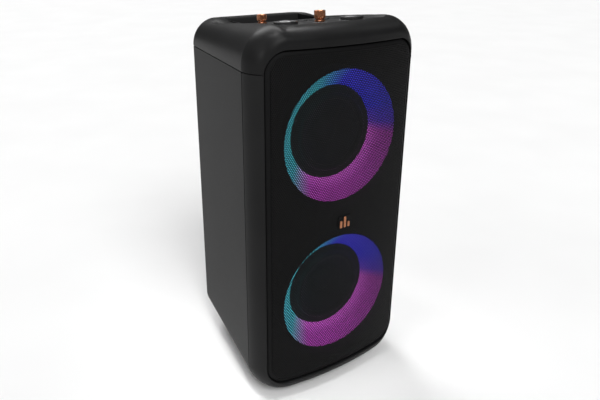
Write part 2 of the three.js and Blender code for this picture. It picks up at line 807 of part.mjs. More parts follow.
// ---- Inside ----
function buildElectronics() {
  const board = (x, y, z, width, height) => box(width, 1.6, height, x, y, z);
  const chip = (x, y, z, w, d, h) => box(w, d, h, x, y, z);
  place("amplifier_board", union([
    board(0, 88, 250, 150, 110),
    chip(-40, 83, 285, 24, 9, 18),
    chip(-62, 81, 262, 18, 13, 18),
    chip(45, 82, 288, 26, 11, 22),
    chip(62, 84, 220, 16, 8, 30),
  ]), "board");
  const fins = Array.from({ length: 9 }, (_, i) => box(2, 22, 60, -24 + i * 6, 66, 240));
  place("heat_sink", union([box(56, 5, 60, 0, 78.5, 240), ...fins]), "alloy");
  place("power_supply", union([
    board(0, 100, 140, 130, 80),
    chip(-30, 82, 140, 44, 35, 40),
    chip(28, 88, 150, 22, 23, 22),
    chip(44, 90, 118, 18, 19, 18),
  ]), "board");
  place("battery_pack", boxBetween([-75, -10, 32], [75, 62, 90]), "cell");
}

function buildFeet() {
  const footprint = outer.translate([0, 0, -GAP]);
  for (const [name, { x, y }] of Object.entries(FEET)) {
    const blank = post(FOOT_RADIUS.base, 40, 0, COARSE, FOOT_RADIUS.top).translate([x, y, 0]);
    place(name, blank.subtract(footprint), "rubber");
  }
}

buildFrontBezel();
buildCabinetShell();
buildTopHousing();
buildCarryHandle();
buildControlPanel();
buildKnobs();
buildButtons();
buildControlBoard();
buildGrille();
buildBadge();
buildBaffle();
buildDriver("upper");
buildDriver("lower");
buildTweeter();
buildRearPanel();
buildPort();
buildIoPanel();
buildJacks();
buildUsbSocket();
buildMainsInlet();
buildScrews();
buildElectronics();
buildFeet();

export default root;
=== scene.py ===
"""Looks of a party speaker: a tapered moulded cabinet, a perforated bowed grille with two lit rings
behind it, and a control deck with copper knobs on top. Lengths are in millimetres until a mesh is
made; the camera, the lights and the ring's colours are placed in metres."""

import json
import math

import bmesh
import bpy
import numpy as np
from mathutils import Matrix, Quaternion, Vector


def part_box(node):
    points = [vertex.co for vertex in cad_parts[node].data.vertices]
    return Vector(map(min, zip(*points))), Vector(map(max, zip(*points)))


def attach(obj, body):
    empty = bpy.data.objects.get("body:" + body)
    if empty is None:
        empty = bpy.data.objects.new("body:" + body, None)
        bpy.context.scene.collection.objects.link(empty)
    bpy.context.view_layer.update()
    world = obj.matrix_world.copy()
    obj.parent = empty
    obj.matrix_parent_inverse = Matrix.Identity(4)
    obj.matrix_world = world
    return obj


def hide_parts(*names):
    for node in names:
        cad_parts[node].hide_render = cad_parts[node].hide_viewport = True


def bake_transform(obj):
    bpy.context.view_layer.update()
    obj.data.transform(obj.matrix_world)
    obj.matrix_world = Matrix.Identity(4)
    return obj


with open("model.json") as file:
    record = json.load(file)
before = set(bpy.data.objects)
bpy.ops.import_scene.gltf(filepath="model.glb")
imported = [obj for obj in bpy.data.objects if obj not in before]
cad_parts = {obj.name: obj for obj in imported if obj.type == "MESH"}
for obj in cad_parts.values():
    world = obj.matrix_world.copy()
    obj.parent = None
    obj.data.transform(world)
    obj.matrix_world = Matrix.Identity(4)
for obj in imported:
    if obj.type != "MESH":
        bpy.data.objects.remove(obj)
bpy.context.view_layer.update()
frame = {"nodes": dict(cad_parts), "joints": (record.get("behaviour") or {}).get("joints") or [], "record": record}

MM = 0.001
PI = math.pi

# ---- Cabinet form, the same as the frame's ----
HALF_DEPTH = 132.3
FRONT_HALF_WIDTH, FRONT_TOP, FRONT_BOTTOM, FRONT_CORNER = 139, 577, 6, 52
BACK_HALF_WIDTH, BACK_TOP, BACK_BOTTOM, BACK_CORNER = 110, 558, 26, 39
FRONT_BOW = 18.5
LIP_INSET, LIP_DEPTH, LIP_EDGE_Y = 22, 32, -112.5
LIP_END_Y = LIP_EDGE_Y + LIP_DEPTH
BACK_ROUND = 5
FRONT_EDGE_WIDTH, TIGHTEST_CORNER = 14, 6
TAPER_LENGTH = HALF_DEPTH - LIP_END_Y
SEAM = 1.0
CAP_SEAM_Z, SIDE_SEAM_Y = 517, -81
DECK_DROP, DECK_FLAT_HALF, DECK_RIM_HALF = 6.5, 88, 100
DECK_FADE = (60, 104)
DECK_START_Y = -74  # the front lip stands above the deck and falls to it by here
LIP_DISH = 0.5  # share of the drop that the top of the lip already has
APERTURE_HALF, APERTURE_LOW, APERTURE_HIGH, APERTURE_CORNER = 124.5, 29, 547, 30
GRILLE_FRONT, GRILLE_BOW = -129.5, 18
POCKET = {"half": 70, "low": 25, "high": 123, "corner": 12}
POCKET_FLOOR = 503
PANEL = {"half": 86, "low": -86, "high": 12, "corner": 12}
PANEL_THICK = 3
PANEL_FLOOR = 540
UPPER_RING_Z = 415.7
CABINET_MIDDLE = (0, 20, 290)

SKIN = 1.4  # thickness of the moulded covers' outer layer
EDGE = 0.6  # rounding of a cover's edge at a seam
TONGUE_DEPTH = 2.3
HALVINGS = 30  # steps in which a place on the skin is found
TONGUE_SET_BACK = 2  # keeps the cap's tongue behind the lip at the front


def mix(a, b, share):
    return a + (b - a) * share


def smooth(value, low, high):
    t = np.clip((value - low) / (high - low), 0, 1)
    return t * t * (3 - 2 * t)


def back_share(y):
    return np.clip((y - LIP_END_Y) / TAPER_LENGTH, 0, 1)


def top_at(y):
    return mix(FRONT_TOP, BACK_TOP, back_share(y))


def bottom_at(y):
    return mix(FRONT_BOTTOM, BACK_BOTTOM, back_share(y))


def deck_drop(x, y):
    across = 1 - smooth(np.abs(x), DECK_FLAT_HALF, DECK_RIM_HALF)
    return DECK_DROP * across * (1 - smooth(y, *DECK_FADE))


def deck_height(x, y):
    return top_at(y) - deck_drop(x, y)


# ---- Meshes ----
def mesh_from(name, points, faces, material, sharp=8.0, weld=0.00001):
    """A smooth-shaded object from points in millimetres; edges sharper than that angle stay sharp."""
    mesh = bpy.data.meshes.new(name)
    mesh.from_pydata((np.asarray(points, float) * MM).tolist(), [], faces)
    return object_from(name, mesh, material, sharp, weld)


def linked(name, data):
    """A new object with that data, in the scene."""
    thing = bpy.data.objects.new(name, data)
    bpy.context.scene.collection.objects.link(thing)
    return thing


def smoothed(mesh, sharp):
    mesh.polygons.foreach_set("use_smooth", [True] * len(mesh.polygons))
    mesh.set_sharp_from_angle(angle=math.radians(sharp))


def evaluated_mesh(piece):
    """A copy of what the piece's modifiers or curve settings make of it."""
    bpy.context.view_layer.update()
    graph = bpy.context.evaluated_depsgraph_get()
    return bpy.data.meshes.new_from_object(piece.evaluated_get(graph))


def object_from(name, mesh, material, sharp=8.0, weld=0.00001):
    work = bmesh.new()
    work.from_mesh(mesh)
    if weld:
        bmesh.ops.remove_doubles(work, verts=work.verts, dist=weld)
        bmesh.ops.dissolve_degenerate(work, edges=work.edges, dist=weld)
    bmesh.ops.recalc_face_normals(work, faces=work.faces)
    work.to_mesh(mesh)
    work.free()
    smoothed(mesh, sharp)
    mesh.materials.clear()
    if material:
        mesh.materials.append(material)
    return linked(name, mesh)


def grid_faces(rows, columns, closed=False):
    """Quads of a grid of points, row by row; closed joins the last column to the first."""
    row = np.arange(rows - 1)[:, None]
    column = np.arange(columns if closed else columns - 1)[None, :]
    a = row * columns + column
    b = row * columns + (column + 1) % columns
    quads = np.stack([a, b, b + columns, a + columns], axis=-1)
    return quads.reshape(-1, 4).tolist()


def baked(piece, sharp=8.0):
    """Replaces the piece's mesh by what its modifiers make of it."""
    mesh = evaluated_mesh(piece)
    piece.modifiers.clear()
    piece.data = mesh
    smoothed(mesh, sharp)
    return piece


def thicken(piece, thickness, sharp=8.0):
    shell = piece.modifiers.new("thickness", "SOLIDIFY")
    shell.thickness = thickness * MM
    shell.offset = -1
    return baked(piece, sharp)


def combine(piece, other, operation, sharp=8.0):
    """Joins or cuts piece with other, and removes other."""
    step = piece.modifiers.new("combine", "BOOLEAN")
    step.operation = operation
    step.object = other
    step.solver = "MANIFOLD"
    baked(piece, sharp)
    bpy.data.objects.remove(other)
    return piece


def rounded_rectangle(half, low, high, corner, steps=10):
    """Outline points, counter-clockwise."""
    points = []
    for x, y, start in (
        (half - corner, low + corner, -PI / 2),
        (half - corner, high - corner, 0),
        (corner - half, high - corner, PI / 2),
        (corner - half, low + corner, PI),
    ):
        for i in range(steps + 1):
            angle = start + i / steps * PI / 2
            points.append((x + corner * math.cos(angle), y + corner * math.sin(angle)))
    return np.array(points)


def outward(outline):
    """Unit normals of a closed counter-clockwise outline."""
    ahead = np.roll(outline, -1, axis=0) - np.roll(outline, 1, axis=0)
    normal = np.stack([ahead[:, 1], -ahead[:, 0]], axis=1)
    return normal / np.linalg.norm(normal, axis=1, keepdims=True)


def lathe(name, profile, material, matrix, segments=96, sharp=25.0, flutes=None):
    """Turned piece about the matrix's Z axis: profile is (radius, height) and closes unless it ends
    on the axis. flutes is (count, depth, low, high): grooves along the axis between two heights."""
    profile = np.array(profile, float)
    on_axis = profile[0, 0] < 1e-6 and profile[-1, 0] < 1e-6
    if not on_axis:
        profile = np.vstack([profile, profile[:1]])
    angle = np.arange(segments) / segments * 2 * PI
    radius = np.repeat(profile[:, :1], segments, axis=1)
    height = np.repeat(profile[:, 1:], segments, axis=1)
    if flutes:
        count, depth, low, high = flutes
        grooved = (height > low) & (height < high)
        radius = radius - grooved * depth * np.maximum(np.cos(count * angle), 0) ** 0.8
    points = np.stack([radius * np.cos(angle), radius * np.sin(angle), height], axis=-1)
    faces = grid_faces(len(profile), segments, closed=True)
    piece = mesh_from(name, points.reshape(-1, 3), faces, material, sharp)
    piece.data.transform(matrix)
    return piece


def arc(radius, height, size, start, end, steps=6):
    """Profile points on a quarter or half circle, angles in degrees."""
    angles = [math.radians(mix(start, end, i / steps)) for i in range(steps + 1)]
    return [(radius + size * math.cos(a), height + size * math.sin(a)) for a in angles]


def plate(name, loops, thick, bevel, material, matrix=None, steps=2, sharp=25.0):
    """A flat plate with bevelled edges from outlines in its own XY plane: the first is its edge and
    the others are holes. Its middle plane is z = 0."""
    curve = bpy.data.curves.new(name, "CURVE")
    curve.dimensions = "2D"
    curve.fill_mode = "BOTH"
    curve.extrude = (thick / 2 - bevel) * MM
    curve.bevel_depth = bevel * MM
    curve.bevel_resolution = steps
    curve.offset = -bevel * MM
    for loop in loops:
        spline = curve.splines.new("POLY")
        spline.points.add(len(loop) - 1)
        spline.use_cyclic_u = True
        for point, (x, y) in zip(spline.points, loop):
            point.co = (x * MM, y * MM, 0, 1)
    source = linked(name + "_outline", curve)
    mesh = evaluated_mesh(source)
    bpy.data.objects.remove(source)
    if matrix is not None:
        mesh.transform(matrix)
    return object_from(name, mesh, material, sharp)


def join(name, pieces, sharp=25.0):
    """One object from several, keeping their materials."""
    materials, points, faces, slots = [], [], [], []
    for piece in pieces:
        mesh = piece.data
        start = len(points)
        material = mesh.materials[0]
        if material not in materials:
            materials.append(material)
        points.extend(tuple(v.co) for v in mesh.vertices)
        faces.extend(tuple(start + i for i in face.vertices) for face in mesh.polygons)
        slots.extend([materials.index(material)] * len(mesh.polygons))
    mesh = bpy.data.meshes.new(name)
    mesh.from_pydata(points, [], faces)
    for material in materials:
        mesh.materials.append(material)
    mesh.polygons.foreach_set("material_index", slots)
    smoothed(mesh, sharp)
    joined = linked(name, mesh)
    for piece in pieces:
        bpy.data.objects.remove(piece)
    return joined


def settle(piece, body, slot, *nodes):
    """Says which body the piece rides on and hides the frame nodes that it stands for; slot is not used."""
    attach(piece, body)
    if nodes:
        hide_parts(*nodes)
    return piece


# ---- Materials ----
FINISHES = {}  # every material by the name it was made with


def new_material(name):
    material = bpy.data.materials.new(name)
    FINISHES[name] = material
    material.use_nodes = True
    nodes = material.node_tree.nodes
    return material, nodes, material.node_tree.links, nodes["Principled BSDF"]


def noise(nodes, links, scale, detail=4.0, roughness=0.55):
    """Noise by place in the object, in blotches per metre."""
    place = nodes.new("ShaderNodeTexCoord")
    texture = nodes.new("ShaderNodeTexNoise")
    texture.inputs["Scale"].default_value = scale
    texture.inputs["Detail"].default_value = detail
    texture.inputs["Roughness"].default_value = roughness
    links.new(place.outputs["Object"], texture.inputs["Vector"])
    return texture.outputs["Fac"]


def ranged(nodes, links, value, low, high, spread=(0.3, 0.7)):
    change = nodes.new("ShaderNodeMapRange")
    change.inputs["From Min"].default_value = spread[0]
    change.inputs["From Max"].default_value = spread[1]
    change.inputs["To Min"].default_value = low
    change.inputs["To Max"].default_value = high
    links.new(value, change.inputs["Value"])
    return change.outputs["Result"]


def calculated(nodes, links, operation, first, second):
    """The operation on a node's output and on a second output or a number."""
    step = nodes.new("ShaderNodeMath")
    step.operation = operation
    links.new(first, step.inputs[0])
    if isinstance(second, (int, float)):
        step.inputs[1].default_value = second
    else:
        links.new(second, step.inputs[1])
    return step.outputs[0]


def tinted(nodes, links, value, dark, light, spread=(0.35, 0.65)):
    ramp = nodes.new("ShaderNodeValToRGB")
    ramp.color_ramp.elements[0].position = spread[0]
    ramp.color_ramp.elements[1].position = spread[1]
    ramp.color_ramp.elements[0].color = (*dark, 1)
    ramp.color_ramp.elements[1].color = (*light, 1)
    links.new(value, ramp.inputs["Fac"])
    return ramp.outputs["Color"]


def bumped(nodes, links, value, strength, distance, onto):
    bump = nodes.new("ShaderNodeBump")
    bump.inputs["Strength"].default_value = strength
    bump.inputs["Distance"].default_value = distance * MM
    links.new(value, bump.inputs["Height"])
    links.new(bump.outputs["Normal"], onto.inputs["Normal"])


def shade(colour, factor):
    return tuple(channel * factor for channel in colour)


def moulded(name, colour, roughness, grain=900, depth=0.05, specular=0.5, metallic=0.0, vary=0.12):
    """Moulded plastic, rubber or painted metal: slow tone changes, fine surface grain."""
    material, nodes, links, surface = new_material(name)
    slow = noise(nodes, links, 14, 3)
    fine = noise(nodes, links, grain, 2)
    colour_now = tinted(nodes, links, slow, shade(colour, 1 - vary), shade(colour, 1 + vary))
    links.new(colour_now, surface.inputs["Base Color"])
    links.new(ranged(nodes, links, fine, roughness - 0.06, roughness + 0.06), surface.inputs["Roughness"])
    surface.inputs["Specular IOR Level"].default_value = specular
    surface.inputs["Metallic"].default_value = metallic
    if depth:
        bumped(nodes, links, fine, 0.5, depth, surface)
    return material


def plated(name, colour, roughness, grain=500):
    """Satin plated metal with fine brushing and slight tarnish."""
    material, nodes, links, surface = new_material(name)
    slow = noise(nodes, links, 60, 3)
    fine = noise(nodes, links, grain, 5)
    colour_now = tinted(nodes, links, slow, shade(colour, 0.8), colour)
    links.new(colour_now, surface.inputs["Base Color"])
    links.new(ranged(nodes, links, fine, roughness - 0.08, roughness + 0.1), surface.inputs["Roughness"])
    surface.inputs["Metallic"].default_value = 1.0
    bumped(nodes, links, fine, 0.3, 0.02, surface)
    return material


RING_FRONT_Y, RING_BACK_Y = -0.117, -0.091
MIX_FACTOR, MIX_A, MIX_B, MIX_RESULT = 0, 6, 7, 2  # sockets of a mix node that is set to colours
GLOW_FRONT = {
    "teal": (0.05, 0.42, 0.5),
    "blue": (0.045, 0.04, 0.68),
    "violet": (0.11, 0.04, 0.62),
    "magenta": (0.49, 0.055, 0.49),
}
GLOW_DEEP = {
    "teal": (0.05, 0.46, 0.52),
    "blue": (0.035, 0.03, 0.66),
    "violet": (0.16, 0.05, 0.6),
    "magenta": (0.75, 0.12, 0.75),
}
GLOW_STOPS = (
    (-180, "teal"),
    (-150, "teal"),
    (-122, "magenta"),
    (-6, "magenta"),
    (4, "violet"),
    (25, "blue"),
    (80, "blue"),
    (114, "teal"),
    (180, "teal"),
)


def glow_ramp(nodes, links, turn, colours):
    """Colour for a direction round the ring, given as a share of a turn from -180 degrees."""
    ramp = nodes.new("ShaderNodeValToRGB")
    stops = ramp.color_ramp.elements
    places = [(degrees + 180) / 360 for degrees, _ in GLOW_STOPS]
    for place in places[1:-1]:
        stops.new(place)
    for i, (_, colour) in enumerate(GLOW_STOPS):
        stops[i].color = (*colours[colour], 1)
    links.new(turn, ramp.inputs["Fac"])
    return ramp.outputs["Color"]


def ring_glow(name, centre_z, strength):
    """Light that changes colour round the ring, and again where the diffuser is deepest."""
    material, nodes, links, surface = new_material(name)
    place = nodes.new("ShaderNodeTexCoord")
    split = nodes.new("ShaderNodeSeparateXYZ")
    links.new(place.outputs["Object"], split.inputs["Vector"])
    height = calculated(nodes, links, "SUBTRACT", split.outputs["Z"], centre_z * MM)
    angle = calculated(nodes, links, "ARCTAN2", height, split.outputs["X"])
    turn = ranged(nodes, links, angle, 0, 1, (-PI, PI))
    depth = ranged(nodes, links, split.outputs["Y"], 0, 1, (RING_FRONT_Y, RING_BACK_Y))
    colour = nodes.new("ShaderNodeMix")
    colour.data_type = "RGBA"
    deepness = tinted(nodes, links, depth, (0, 0, 0), (1, 1, 1), (0.55, 0.95))
    links.new(deepness, colour.inputs[MIX_FACTOR])
    links.new(glow_ramp(nodes, links, turn, GLOW_FRONT), colour.inputs[MIX_A])
    links.new(glow_ramp(nodes, links, turn, GLOW_DEEP), colour.inputs[MIX_B])
    links.new(colour.outputs[MIX_RESULT], surface.inputs["Base Color"])
    links.new(colour.outputs[MIX_RESULT], surface.inputs["Emission Color"])
    grain = ranged(nodes, links, noise(nodes, links, 60, 2), 0.9, 1.1)
    power = calculated(nodes, links, "MULTIPLY", grain, strength)
    links.new(power, surface.inputs["Emission Strength"])
    surface.inputs["Roughness"].default_value = 0.6
    return material


# rim_metal is a darker, duller copy of the grille metal: painted shade for the dark line along the grille's edge.
# The badge's base uses it too.
RIM = moulded("rim_metal", (0.003, 0.003, 0.0032), 0.6, 1500, 0.02, 0.1)
SIDE = moulded("side_plastic", (0.009, 0.009, 0.0092), 0.5, 1100, 0.04, 0.1)
BEZEL = moulded("bezel_plastic", (0.0068, 0.0068, 0.007), 0.5, 1100, 0.03, 0.14)
HOUSING = moulded("housing_plastic", (0.0088, 0.0088, 0.009), 0.36, 1100, 0.02, 0.067)
DECK = moulded("deck_plastic", (0.01, 0.01, 0.0103), 0.5, 1300, 0.03, 0.15)
GRIP = moulded("grip_rubber", (0.012, 0.012, 0.0125), 0.75, 700, 0.1, 0.3)
GRILLE = moulded("grille_metal", (0.0034, 0.0034, 0.0036), 0.55, 1500, 0.02, 0.155)
COPPER = plated("copper_trim", (0.42, 0.18, 0.095), 0.28)
DIAL = moulded("dial_plastic", (0.008, 0.008, 0.0085), 0.45, 1300, 0.03)
# dial_cap's lighter grey is a painted highlight on the dials' domes.
DIAL_CAP_PAINTED_HIGHLIGHT = moulded("dial_cap", (0.05, 0.05, 0.052), 0.35, 900, 0.02)
moulded("circuit_board", (0.02, 0.1, 0.04), 0.45, 800, 0.03)
BAFFLE = moulded("baffle_board", (0.006, 0.006, 0.0065), 0.8, 600, 0.1, 0.2)
BASKET = moulded("basket_steel", (0.012, 0.012, 0.0125), 0.5, 900, 0.03, 0.4)
RUBBER = moulded("surround_rubber", (0.008, 0.008, 0.0085), 0.6, 700, 0.05, 0.35)
CONE = moulded("cone_paper", (0.02, 0.018, 0.024), 0.75, 420, 0.2, 0.25)
moulded("spider_cloth", (0.4, 0.26, 0.1), 0.9, 1500, 0.2, 0.2)
STEEL = plated("magnet_steel", (0.5, 0.5, 0.52), 0.35)
plated("heat_alloy", (0.6, 0.61, 0.63), 0.38)
moulded("cell_wrap", (0.03, 0.08, 0.2), 0.4, 300, 0.05)
SOCKET = moulded("socket_plastic", (0.007, 0.007, 0.0075), 0.45, 1200, 0.03)
FOOT = moulded("foot_rubber", (0.01, 0.01, 0.01), 0.85, 600, 0.1, 0.25)
SCREW = plated("screw_steel", (0.12, 0.12, 0.125), 0.4)
MARK = moulded("mark_print", (0.45, 0.45, 0.46), 0.5, 600, 0.0)
PANEL_PLASTIC = moulded("panel_plastic", (0.012, 0.012, 0.0125), 0.5, 1200, 0.05)


# ---- Camera, light and floor ----
CAMERA_PLACE = Vector((-0.4948, -0.7449, 0.6809))
CAMERA_FORWARD = Vector((0.5203, 0.7709, -0.3678))
CAMERA_ROLL = 0.65
CAMERA_LENS = 35.56
CAMERA_SHIFT_Y = -0.0511
HOUSING_CORNER = Vector((-0.1, -0.1, 0.55))
HOUSING_LIP = Vector((-0.112, -0.107, 0.567))
EDGE_LIGHT_REACH = 1.4
FLOOR_HALF = 30 / MM


def make_camera():
    data = bpy.data.cameras.new("camera")
    data.sensor_width = 36
    data.lens = CAMERA_LENS
    data.shift_y = CAMERA_SHIFT_Y
    data.clip_start = 0.02
    camera = linked("camera", data)
    aim = CAMERA_FORWARD.to_track_quat("-Z", "Y")
    camera.rotation_mode = "QUATERNION"
    camera.rotation_quaternion = aim @ Quaternion((0, 0, 1), math.radians(CAMERA_ROLL))
    camera.location = CAMERA_PLACE
    bpy.context.scene.camera = camera


def area_light(name, place, target, size, power, spread):
    data = bpy.data.lights.new(name, "AREA")
    data.shape = "RECTANGLE"
    data.size = data.size_y = size
    data.energy = power
    data.spread = math.radians(spread)
    light = linked(name, data)
    light.location = place
    light.rotation_euler = (Vector(target) - Vector(place)).to_track_quat("-Z", "Y").to_euler()


def sun_light(name, direction, strength, angle):
    data = bpy.data.lights.new(name, "SUN")
    data.energy = strength
    data.angle = math.radians(angle)
    light = linked(name, data)
    light.rotation_euler = Vector(direction).to_track_quat("-Z", "Y").to_euler()


def make_stage():
    bpy.context.scene.view_settings.view_transform = "Standard"
    world = bpy.data.worlds.new("studio")
    bpy.context.scene.world = world
    world.use_nodes = True
    background = world.node_tree.nodes["Background"]
    background.inputs["Color"].default_value = (1, 1, 1, 1)
    background.inputs["Strength"].default_value = 0.12
    sun_light("back_light", (0, -1, -1), 1.98, 30)
    sun_light("front_light", (0.2, 1, -1), 2.1, 30)
    sun_light("left_light", (1, 0, -0.7), 0.35, 30)
    sun_light("right_light", (-1, 0, -1), 0.15, 30)
    for name, target, away, power, size, spread in (
        ("low_edge_light", HOUSING_CORNER, (-0.94, -0.35, 0.34), 0.07, 0.3, 20),
        ("front_edge_light", HOUSING_CORNER, (-0.17, -0.35, 0.98), 0.08, 0.3, 20),
        ("top_edge_light", HOUSING_CORNER, (-0.17, 0, 0.98), 0.2, 0.3, 20),
        ("back_edge_light", HOUSING_CORNER, (0.2, 0.38, 0.95), 0.15, 0.3, 20),
        ("lip_light", HOUSING_LIP, (0.4, 0.45, 0.78), 0.034, 0.2, 6),
    ):
        place = target + Vector(away).normalized() * EDGE_LIGHT_REACH
        area_light(name, place, target, size, power, spread)
    points = [(x * FLOOR_HALF, y * FLOOR_HALF, 0) for y in (-1, 1) for x in (-1, 1)]
    floor = mesh_from("floor", points, grid_faces(2, 2), floor_material())


def floor_material():
    material, nodes, links, surface = new_material("floor_paper")
    tone = noise(nodes, links, 3, 2)
    white = tinted(nodes, links, tone, (0.86, 0.86, 0.86), (0.88, 0.88, 0.88))
    links.new(white, surface.inputs["Base Color"])
    surface.inputs["Roughness"].default_value = 0.9
    return material


# ---- Cabinet skin ----
class Path:
    """Columns of the cabinet's skin round its outline, from the +X seam to the -X seam.
    side is -1..1 across the outline, turn the corner angle, and down the share of the straight side."""

    def __init__(self, upper, seam_z, side_steps, arc_steps, edge_steps):
        self.upper = upper
        self.seam_z = seam_z
        right = [(1, 0, 1 - i / side_steps) for i in range(side_steps)]
        right += [(1, i / arc_steps * PI / 2, 0) for i in range(arc_steps + 1)]
        middle = [(1 - 2 * i / edge_steps, PI / 2, 0) for i in range(1, edge_steps)]
        left = [(-1, turn, down) for _, turn, down in reversed(right)]
        self.side, self.turn, self.down = np.array(right + middle + left).T

    def points(self, w):
        """Skin points for w, shaped (rows, columns): -1..0 the flat front edge, 0..1 the rounded
        lip, 1..2 the tapered sides and 2..3 the rounded back edge."""
        lip = np.clip(w, 0, 1) * PI / 2
        taper = np.clip(w - 1, 0, 1)
        back = np.clip(w - 2, 0, 1) * PI / 2
        flat = np.clip(-w, 0, 1)
        back_start = HALF_DEPTH - BACK_ROUND
        y = LIP_EDGE_Y + LIP_DEPTH * (1 - np.cos(lip))
        y = np.where(w > 1, mix(LIP_END_Y, back_start, taper) + BACK_ROUND * np.sin(back), y)
        inset = LIP_INSET * (1 - np.sin(lip)) + flat * FRONT_EDGE_WIDTH
        inset = inset + BACK_ROUND * (1 - np.cos(back))
        bow = FRONT_BOW * (1 - taper)
        dish = mix(LIP_DISH * np.sin(lip), 1, smooth(y, LIP_END_Y, DECK_START_Y))
        share = back_share(y)
        half = mix(FRONT_HALF_WIDTH, BACK_HALF_WIDTH, share) - inset
        corner = np.maximum(mix(FRONT_CORNER, BACK_CORNER, share) - inset, TIGHTEST_CORNER)
        x = self.side * (half - corner + corner * np.cos(self.turn))
        depth = y - bow * (1 - (x / FRONT_HALF_WIDTH) ** 2)
        drop = corner * (1 - np.sin(self.turn))
        if self.upper:
            z = top_at(depth) - inset - drop - dish * deck_drop(x, depth)
        else:
            z = bottom_at(depth) + inset + drop
        z = mix(z, self.seam_z, self.down)
        return np.stack([x, depth, z], axis=-1)

    def solve(self, measure, low, high):
        """The w in each column where measure of its point passes zero, by halving."""
        a = np.full(len(self.side), float(low))
        b = np.full(len(self.side), float(high))
        rising = measure(self.points(b[None])[0]) > 0
        for _ in range(HALVINGS):
            middle = (a + b) / 2
            above = measure(self.points(middle[None])[0]) > 0
            upper_part = above == rising
            b = np.where(upper_part, middle, b)
            a = np.where(upper_part, a, middle)
        return (a + b) / 2


def aperture_distance(point):
    """How far a point is outside the grille opening, seen from the front."""
    middle = (APERTURE_HIGH + APERTURE_LOW) / 2
    dx = np.abs(point[..., 0]) - (APERTURE_HALF - APERTURE_CORNER)
    dz = np.abs(point[..., 2] - middle) - ((APERTURE_HIGH - APERTURE_LOW) / 2 - APERTURE_CORNER)
    outside = np.hypot(np.maximum(dx, 0), np.maximum(dz, 0))
    return outside + np.minimum(np.maximum(dx, dz), 0) - APERTURE_CORNER


def rounded_edge(before, corner, inward, radius, steps=4):
    """Rows that turn from the skin into the edge, tangent at both ends."""
    after = corner + inward * radius
    rows = []
    for i in range(1, steps + 1):
        q = i / steps
        rows.append((1 - q) ** 2 * before + 2 * q * (1 - q) * corner + q * q * after)
    return rows


def grid_inward(grid):
    """Unit vectors into the cabinet at each point of a grid."""
    down = np.gradient(grid, axis=0)
    across = np.gradient(grid, axis=1)
    normal = np.cross(down, across)
    normal /= np.maximum(np.linalg.norm(normal, axis=-1, keepdims=True), 1e-9)
    probe = grid.shape[0] // 2, grid.shape[1] // 2
    sign = np.sign(np.dot(normal[probe], np.array(CABINET_MIDDLE) - grid[probe]))
    return normal * sign


def row_range(start, end, steps, columns):
    """Rows of w from start to end, not including the end."""
    share = np.arange(steps)[:, None] / steps
    start = np.broadcast_to(start, (columns,))
    end = np.broadcast_to(end, (columns,))
    return mix(start, end, share)


def front_edge_rows(path, wall_depth):
    """Rows from deep inside the grille opening out to the skin, and the w where the skin starts."""
    radius = 1.5
    start = path.solve(lambda p: aperture_distance(p) - radius, -1, 1)
    edge = path.solve(aperture_distance, -1, 1)
    before = path.points(start[None])[0]
    corner = path.points(edge[None])[0]
    backward = np.array([0, 1.0, 0])
    rows = rounded_edge(before, corner, backward, radius)
    for depth in (wall_depth / 2, wall_depth):
        rows.append(corner + backward * depth)
    return rows[::-1], start


def side_seam_rows(path, offset, tongue):
    """Rows that turn in at the side seam, with a tongue that closes the gap if wanted, and the w
    where the skin ends. The direction from the seam line is given by offset's sign."""
    sign = -math.copysign(1, offset)
    seam_y = SIDE_SEAM_Y + offset
    edge = path.solve(lambda p: p[..., 1] - seam_y, 0, 2)
    start = path.solve(lambda p: p[..., 1] - seam_y + sign * EDGE, 0, 2)
    before = path.points(start[None])[0]
    corner = path.points(edge[None])[0]
    band = path.points(np.stack([edge - 0.01, edge, edge + 0.01]))
    inward = grid_inward(band)[1]
    rows = rounded_edge(before, corner, inward, EDGE)
    rows.append(corner + inward * TONGUE_DEPTH)
    if tongue:
        rows.append(corner + inward * TONGUE_DEPTH + np.array([0, sign * (SEAM + 3), 0]))
    return rows, start


def with_seam_columns(grid, tongue_down):
    """Turns the first and last columns in at the cap seam."""
    inward = grid_inward(grid)
    set_back = np.zeros_like(grid[:, 0])
    set_back[:, 1] = TONGUE_SET_BACK * (1 - back_share(grid[:, 0, 1]))
    upward = np.array([0, 0, 1.0 if tongue_down else -1.0])
    result = grid[:, 1:-1]
    for corner, normal, first in ((grid[:, 0], inward[:, 0], True), (grid[:, -1], inward[:, -1], False)):
        before = corner + upward * EDGE
        extra = [before] + rounded_edge(before, corner, normal, EDGE)
        extra.append(corner + normal * TONGUE_DEPTH)
        if tongue_down:
            extra.append(corner + normal * TONGUE_DEPTH - upward * (SEAM + 3) + set_back)
        columns = np.stack(extra, axis=1)
        if first:
            result = np.concatenate([columns[:, ::-1], result], axis=1)
        else:
            result = np.concatenate([result, columns], axis=1)
    return result


def skin_piece(name, rows, tongue_down, material):
    grid = with_seam_columns(np.stack(rows), tongue_down)
    count = grid.shape[:2]
    piece = mesh_from(name, grid.reshape(-1, 3), grid_faces(*count), material)
    thicken(piece, SKIN)
    for vertex in piece.data.vertices:
        vertex.co.y = min(vertex.co.y, HALF_DEPTH * MM)
    return piece


def back_fan(path):
    """The last row: every column ends at one point of the flat back, on the seam."""
    point = np.array([0, HALF_DEPTH, path.seam_z])
    return np.broadcast_to(point, (len(path.side), 3))


def make_front_bezel():
    path = Path(False, CAP_SEAM_Z - SEAM / 2, side_steps=24, arc_steps=20, edge_steps=28)
    columns = len(path.side)
    front, start = front_edge_rows(path, 16)
    seam, end = side_seam_rows(path, -SEAM / 2, True)
    skin = path.points(row_range(start, end, 26, columns))
    rows = [*front[:-1], *skin, path.points(end[None])[0], *seam]
    piece = skin_piece("front_bezel_shell", rows, False, BEZEL)
    settle(piece, "cabinet", "bezel_plastic", "front_bezel")


